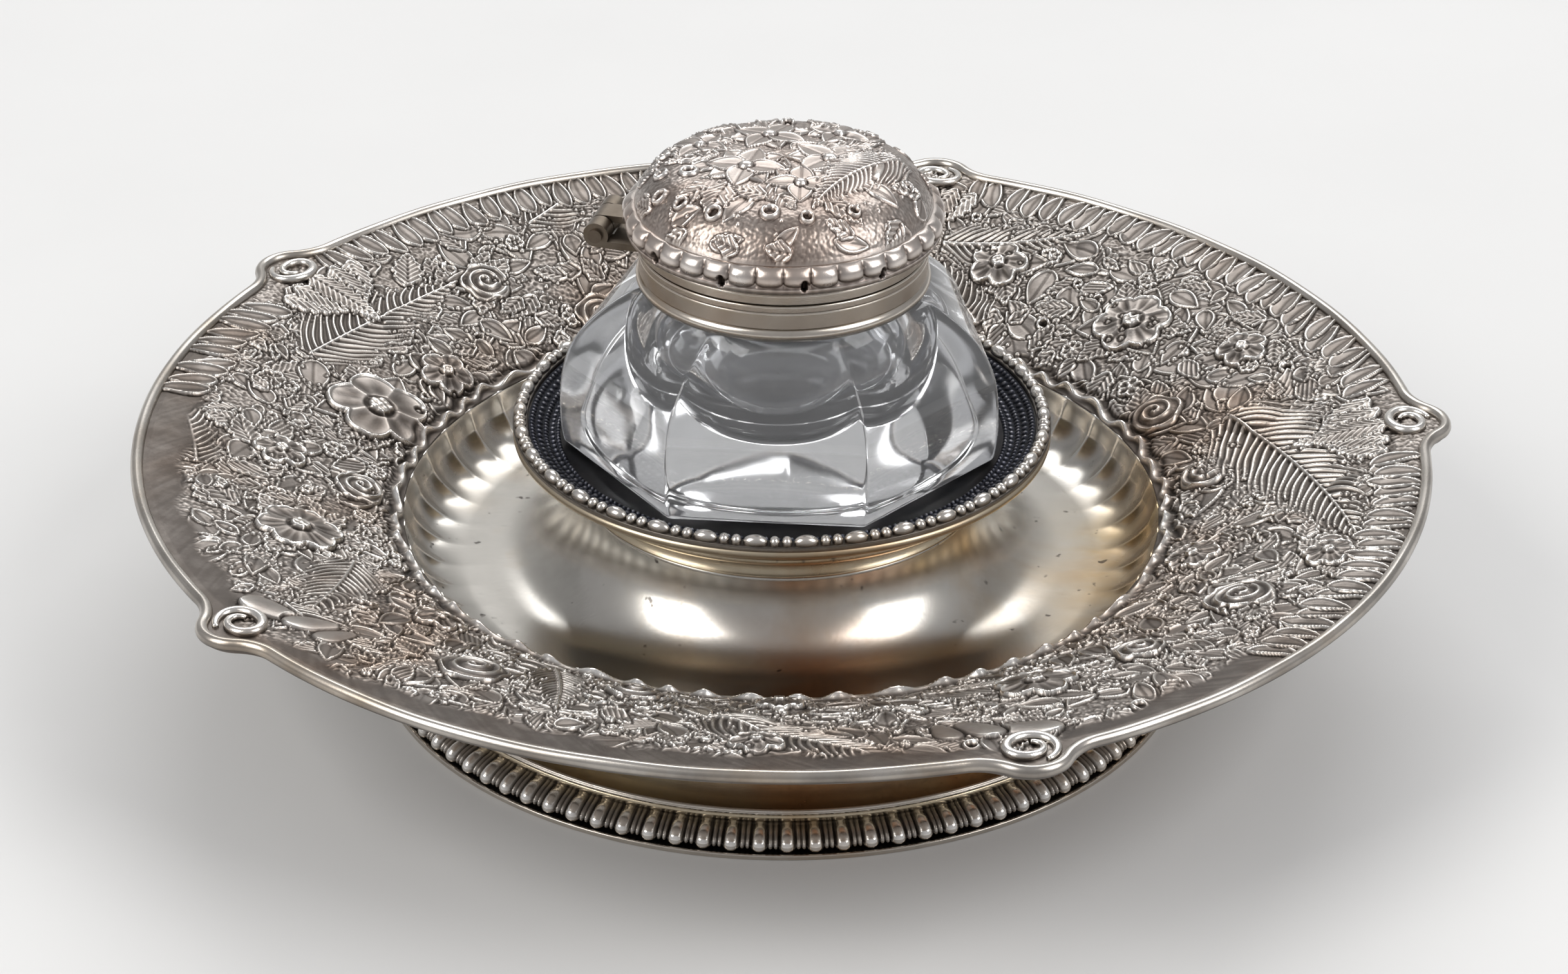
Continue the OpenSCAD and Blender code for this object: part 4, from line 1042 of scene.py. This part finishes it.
# Cut glass: seven panels with softly ground ridges, a thick wall and a rounded cavity
def glass_panels():
    half = pi / panels
    soft = 0.9
    bottom_r = 0.7
    per = flat(np.linspace(-half, -half + 0.07, 9), np.linspace(-half + 0.1, half - 0.1, 15),
               np.linspace(half - 0.07, half, 9)[:-1])
    az = flat(*[panel_turn + (k + 0.5) * 2 * half + per for k in range(panels)])
    local = np.tile(per, panels)
    cols = len(az)
    top = glass_h + shoulder_h

    def panel(z, inset):
        share = min(max((z - glass_h - belly_h) / (shoulder_h - belly_h), 0), 1)
        fuller = 1.2 * sin(pi * share ** 1.5) ** 1.2
        apothem = panel_mid_r + sqrt(panel_curve_r ** 2 - (z - glass_h - belly_h) ** 2) + fuller - inset
        corner = (apothem - soft) / cos(half)
        psi = half - np.abs(local)
        meet = atan2(soft * sin(half), corner + soft * cos(half))
        arc_r = corner * np.cos(psi) + np.sqrt(np.clip(soft ** 2 - (corner * np.sin(psi)) ** 2, 0, None))
        return np.where(psi > meet, apothem / np.cos(local), arc_r)

    rows = [(8, 38.5), (16, 38.5), (23.2, 38.5), (23.7, 38.42), (24.0, 38.2), (24.2, 37.98), (24.6, 37.9),
        (28, 37.9),
            (panel(glass_h, 1.4), glass_h)]
    for a in np.radians(np.linspace(0, 90, 6)):
        z = glass_h + bottom_r - bottom_r * cos(a)
        rows.append((panel(z, bottom_r * (1 - sin(a))), z))
    rows += [(panel(z, 0.0), z) for z in np.linspace(glass_h + 1.0, top - 1.0, 42)]
    for a in np.radians(np.linspace(10, 90, 6)):
        z = top - 0.9 + 0.9 * sin(a)
        rows.append((np.maximum(panel(z, 0.9 * (1 - cos(a))), neck_r + 0.15), z))
    rows += [(neck_r + 0.1, top + 0.02), (neck_r, top + 0.2), (neck_r, 67.0), (neck_r, 69.5), (19.1, 69.85),
             (18.8, 70.0), (16.9, 70.0), (16.5, 69.85), (16.2, 69.5), (16.2, 66.0), (16.25, 63.2),
             (16.6, 62.0)]
    rows += arc((12.5, 53.5), 9.0, 60, -90, 31) + [(8.0, 44.5), (3.0, 44.5)]
    r = np.array([row[0] + np.zeros(cols) for row in rows])
    z = np.array([row[1] for row in rows])[:, None]
    make("glass_panels", gathered(around(r, z, az), [[0, 0, 38.5], [0, 0, 44.5]]),
        grid_faces(len(rows), cols),
         "inkwell", glass, ("glass_well",), fans(len(rows), cols))


glass_panels()


# Collar with its rolled ring and engraved lines
def engraved(low, high, in_r, line_h):
    """The section of an upright band with one fine turned line."""
    face = []
    for z in np.arange(low + 0.02, high, 0.05):
        line = 0.09 * exp(-((z - line_h) / 0.11) ** 2)
        face.append((collar_r - line - 0.15 * exp(-((high - z) / 0.12) ** 2), z))
    return [(in_r, low), (collar_r - 0.1, low)] + face + [(collar_r - 0.2, high), (in_r, high)]


roll = arc((collar_r - 0.7, ring_low_h + 1.15), 1.15, -90, 90, 18)
lathe("collar_roll", [(collar_in_r, ring_low_h)] + roll + [(collar_in_r, collar_low_h)], "inkwell",
      plain_silver, ("collar_bead_ring",), 320)
lathe("collar_band", engraved(collar_low_h, parting_h, collar_in_r, 69.2), "inkwell", plain_silver,
      ("neck_collar",), 320)
lathe("lid_ring", engraved(lid_low_h, border_h, 21.0, 72.2), "lid", plain_silver, ("lid_band",),
    320)

# The lid's chased dome: stippled ground, daisies, a fern, leaves and ring pods
top_map = Relief(27.0, 0.08, 0.15, 0.20)
top_map.h = -0.10 + 0.028 * pebbles(top_map.h.shape, top_map.step, 0.12, 0.5, 5)


def on_lid(x, y, degrees, size, draw, edge=1.0, sink=0.14):
    top_map.stamp((x, y), radians(degrees), size, draw, edge, sink)


for x, y, turn, length, width, kind in (
        (-7, 13, 160, 8, 2.2, 1), (-2, 15, 110, 6.5, 1.9, 0), (5, 14, 70, 7, 2.2, 1),
        (10, 12, 40, 7, 2.0, 0),
        (-10, 8, 175, 8, 2.3, 0), (-10, 2, 178, 8.5, 2.2, 1), (-11, 4, 140, 7, 1.9, 1),
        (1, 3, 40, 5, 1.6, 0),
        (-2, -9, -70, 8, 2.2, 1), (3, -6, -45, 7, 1.9, 0), (-10, -1, 205, 6, 1.7, 0),
        (0, -1, 250, 5, 1.5, 1),
        (8, 5, 20, 8, 2.2, 1), (12, 8, 60, 6, 1.7, 0), (-5, -12, -120, 7, 1.9, 0),
        (-12, -9, -150, 7, 1.9, 1),
        (6, -13, -40, 7, 1.9, 1), (12, -8, -20, 6, 1.8, 0)):
    on_lid(x, y, turn, length * 1.3, leaf(length, width, 0.14 if kind else -0.12, kind, 0.22))
for i in range(30):
    turn = 12 * i + flow.uniform(-3, 3)
    r = 22.2 + flow.uniform(-1.2, 1.2)
    on_lid(*polar(r, turn), turn + 90 * (-1) ** i + flow.uniform(-40, 40), 5.5,
           leaf(flow.uniform(4.0, 6.0), flow.uniform(1.1, 1.7), 0.15 * (-1) ** i, i % 2, 0.28))
on_lid(-8.5, -8.5, -115, 13, leaf(8.5, 2.7, 0.1, 1, 0.4))
on_lid(-2.5, -12.5, 160, 12, leaf(6.0, 1.9, -0.14, 1, 0.35))
on_lid(-14.0, 2.0, 120, 12, leaf(7.0, 2.0, 0.14, 1, 0.35))
for x, y, size, turn in ((-2.3, 9.4, 5.2, 10), (7.0, 0.2, 5.4, 0), (-5.8, -2.8, 5.2, 25),
        (2.5, -8.5, 4.4, 40),
                         (-13.0, 6.5, 4.2, 5), (8.5, 11.0, 4.2, 15)):
    for i in (0, 2, 4, 6, 1, 3, 5, 7):
        on_lid(x, y, turn + 45 * i, size * 1.9, leaf(1.25 * size, 0.44 * size, 0.06, 0,
            0.58 - 0.2 * (i % 2)), 0.6)
    on_lid(x, y, 0, 2.4, dot(0.22 * size, 0.7), 0.0, 0.3)
on_lid(17.5, 2.5, -142, 27, fern(21.5, 6.4, 0.28, 1.15, 0.5), 0.3)
for x, y, r in ((-18.8, -7.7, 1.3), (-18.7, -1.9, 1.2), (-14.5, -3.2, 1.6), (-2.1, -16.6, 1.6),
        (-10.5, -15.5, 1.4),
                (3.5, -17.6, 1.2), (-15.5, -11.5, 1.2), (0.5, 15.5, 1.2), (-18.5, 5.0, 1.2),
                (13.5, 13.0, 1.2),
                (10.5, -15.0, 1.1), (18.6, -5.0, 1.1)):
    on_lid(x, y, 0, r * 1.6, pod(r, 0.4), 0.6)
for _ in range(120):
    r = 20.5 * sqrt(flow.uniform(0.02, 1))
    a = flow.uniform(0, TURN)
    x, y = r * cos(a), r * sin(a)
    if top_map.read(top_map.h, np.array(x), np.array(y)) < 0.0:
        on_lid(x, y, 0, 0.8, dot(flow.uniform(0.2, 0.36), 0.2), 0.0, 0.1)
top_map.finish(0.22, 1.0, 1.7, 0.75, 0.50)


def smooth_line(points_in, steps):
    """A smooth line through a few points."""
    q = np.array(points_in, float)
    q = np.concatenate([2 * q[:1] - q[1:2], q, 2 * q[-1:] - q[-2:-1]])
    out = []
    for a, b, c, d in zip(q, q[1:], q[2:], q[3:]):
        for t in np.arange(steps) / steps:
            out.append(tuple(0.5 * (2 * b + (c - a) * t + (2 * a - 5 * b + 4 * c - d) * t * t
                                    + (3 * b - a - 3 * c + d) * t ** 3)))
    return out + [tuple(q[-2])]


def lid_dome():
    per_lobe = 20
    bend_r = 20.0
    cols = lobes * per_lobe
    az = angles(cols)
    flat_r = dome_r - dome_round_r
    line = [(r, dome_top_h - r * r / (2 * dome_top_r)) for r in np.linspace(0.35, flat_r, 60)]
    line += arc((flat_r, line[-1][1] - dome_round_r), dome_round_r, 85, 21, 57)
    chased_rows = len(line)
    line += smooth_line([(lid_r - a, border_h + b) for a, b in (
        (2.0, 4.35), (1.4, 4.3), (0.7, 3.95), (0.2, 3.3), (0, 2.5), (0.05, 1.8), (0.5, 1.3))], 5)
    lobe_rows = len(line)
    line += smooth_line([(lid_r - a, border_h + b) for a, b in (
        (0.6, 1.15), (0.55, 0.9), (0.6, 0.5), (0.8, 0.2), (1.2, 0))], 7)
    p = np.array(line)
    k = np.arange(len(p))[:, None].astype(float)
    bend_at = acos((bend_r - flat_r) / dome_round_r)
    turned = np.arccos(np.clip((p[:, :1] - flat_r) / dome_round_r, 0, 1))
    unroll = np.where(p[:, :1] > bend_r, bend_r + 0.8 * dome_round_r * (bend_at - turned), p[:, :1])
    x, y = unroll * np.cos(az), unroll * np.sin(az)
    chase = (1 - ease(k, chased_rows - 3, chased_rows)) * np.ones_like(az)
    h = top_map.read(top_map.h, x, y) * chase
    wear = np.where(chase > 0.02, top_map.read(top_map.wear, x, y), 0.6)
    f = ((az * lobes / TURN) % 1.0 - 0.5)[None, :]
    lobe_zone = ease(k, chased_rows + 1, chased_rows + 12) * (1 - ease(k, lobe_rows - 2, lobe_rows + 1))
    uneven = 0.85 + 0.15 * np.sin(np.floor(az * lobes / TURN) * 2.3)[None, :]
    lobe = np.sqrt(np.clip(1 - (2 * np.abs(f)) ** 2.4, 0, 1)) * uneven
    h = h + lobe_zone * (lobe - 1) * 0.95
    wear = wear * (1 - lobe_zone) + lobe_zone * (0.16 + 0.66 * lobe)
    streak = 0.06 * np.sin(az * 97 + 2 * np.sin(az * 13))[None, :]
    wear = np.where(k >= lobe_rows - 1, 0.60 + streak, wear)
    wear = wear - 0.35 * np.exp(-((k - lobe_rows - 1) / 2.2) ** 2)
    rise = p[:, 1:2] - (border_h + 1.6)
    for i in range(punches):
        at = TURN * (i + 0.25) / punches
        across = ((az - at + pi) % TURN - pi) * lid_r
        q = np.sqrt((across[None, :] / 0.55) ** 2 + (rise / 1.15) ** 2)
        q = np.where(k < chased_rows, 9, q)
        h = h - 1.1 * (1 - ease(q, 0.6, 1.05))
        wear = wear * ease(q, 0.75, 1.15)
    r, z = shifted(p, normals(p), h)
    top = around(r, np.maximum(z, border_h), az)
    inner = [(lid_in_r, border_h), (lid_in_r, border_h + 3.0), (20.0, 79.5), (17.5, 82.0), (12.0, 83.2),
        (0.35, 83.7)]
    rows = chased_rows + 1
    make("lid_dome", gathered(top[:rows], [0, 0, dome_top_h]), grid_faces(rows, cols), "lid",
        lid_silver,
         ("lid_cap",), fans(rows, cols)[:cols], flat(wear[:rows], 0.5))
    rows = len(p) - chased_rows + len(inner)
    make("lid_edge", gathered(top[chased_rows:], spun(inner, az), [0, 0, 83.7]), grid_faces(rows, cols),
        "lid",
         lid_silver, ("lid_cap",), fans(rows, cols)[cols:] - np.array([1, 0, 0]),
         flat(wear[chased_rows:], np.full(len(inner) * cols + 1, 0.4)))


lid_dome()

# CAD nodes that keep their shape
for name, material in (("neck_cement", plaster), ("collar_hinge_leaf", hinge_silver),
                       ("lid_hinge_leaf", hinge_silver), ("hinge_pin", pin_metal),
                       ("lid_lining", warm_silver)):
    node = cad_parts[name]
    node.data.materials.clear()
    node.data.materials.append(material)

# Floor and backdrop, in metres
look = Look("pale_floor")
tones = ((0.3, (0.70, 0.70, 0.695)), (0.7, (0.73, 0.73, 0.725)))
look.link(look.ramp(look.noise(9, 4, 0.5), tones), look.shader["Base Color"])
look.shader["Roughness"].default_value = 0.6
floor_half = 3.0
wall_at = 1.2
wall_h = 2.5
bend = 0.5
sweep = [(-floor_half, 0.0), (wall_at, 0.0)]
sweep += [(wall_at + bend * sin(a), bend - bend * cos(a)) for a in np.radians(np.linspace(5, 90, 16))]
sweep += [(wall_at + bend, wall_h)]
floor_mesh = bpy.data.meshes.new("floor")
floor_mesh.from_pydata([(x, y, z) for y, z in sweep for x in (-floor_half, floor_half)], [],
                       [(2 * i, 2 * i + 1, 2 * i + 3, 2 * i + 2) for i in range(len(sweep) - 1)])
for polygon in floor_mesh.polygons:
    polygon.use_smooth = True
floor_mesh.materials.append(look.material)
floor = bpy.data.objects.new("floor", floor_mesh)
bpy.context.scene.collection.objects.link(floor)


# Lamps and world, in metres and watts
def soft_box(name, at, wide, tall, power, colour=(1, 1, 1)):
    """A large lamp that looks at the inkstand."""
    lamp = bpy.data.lights.new(name, "AREA")
    lamp.shape = "RECTANGLE"
    lamp.size = wide
    lamp.size_y = tall
    lamp.energy = power
    lamp.color = colour
    obj = bpy.data.objects.new(name, lamp)
    obj.location = at
    obj.rotation_euler = (Vector((0, 0, 0.04)) - Vector(at)).to_track_quat("-Z", "Y").to_euler()
    bpy.context.scene.collection.objects.link(obj)


soft_box("left_box", (-0.95, -0.55, 0.95), 0.7, 0.9, 11.0, (1.0, 0.985, 0.96))
soft_box("right_box", (0.95, -0.45, 0.95), 0.7, 0.9, 9.0, (1.0, 0.99, 0.98))
soft_box("back_box", (0.1, 0.95, 1.1), 1.2, 0.6, 8.0)
world = bpy.data.worlds.new("studio")
bpy.context.scene.world = world
world.use_nodes = True
world.node_tree.nodes["Background"].inputs["Color"].default_value = (0.42, 0.42, 0.43, 1)
world.node_tree.nodes["Background"].inputs["Strength"].default_value = 1.0
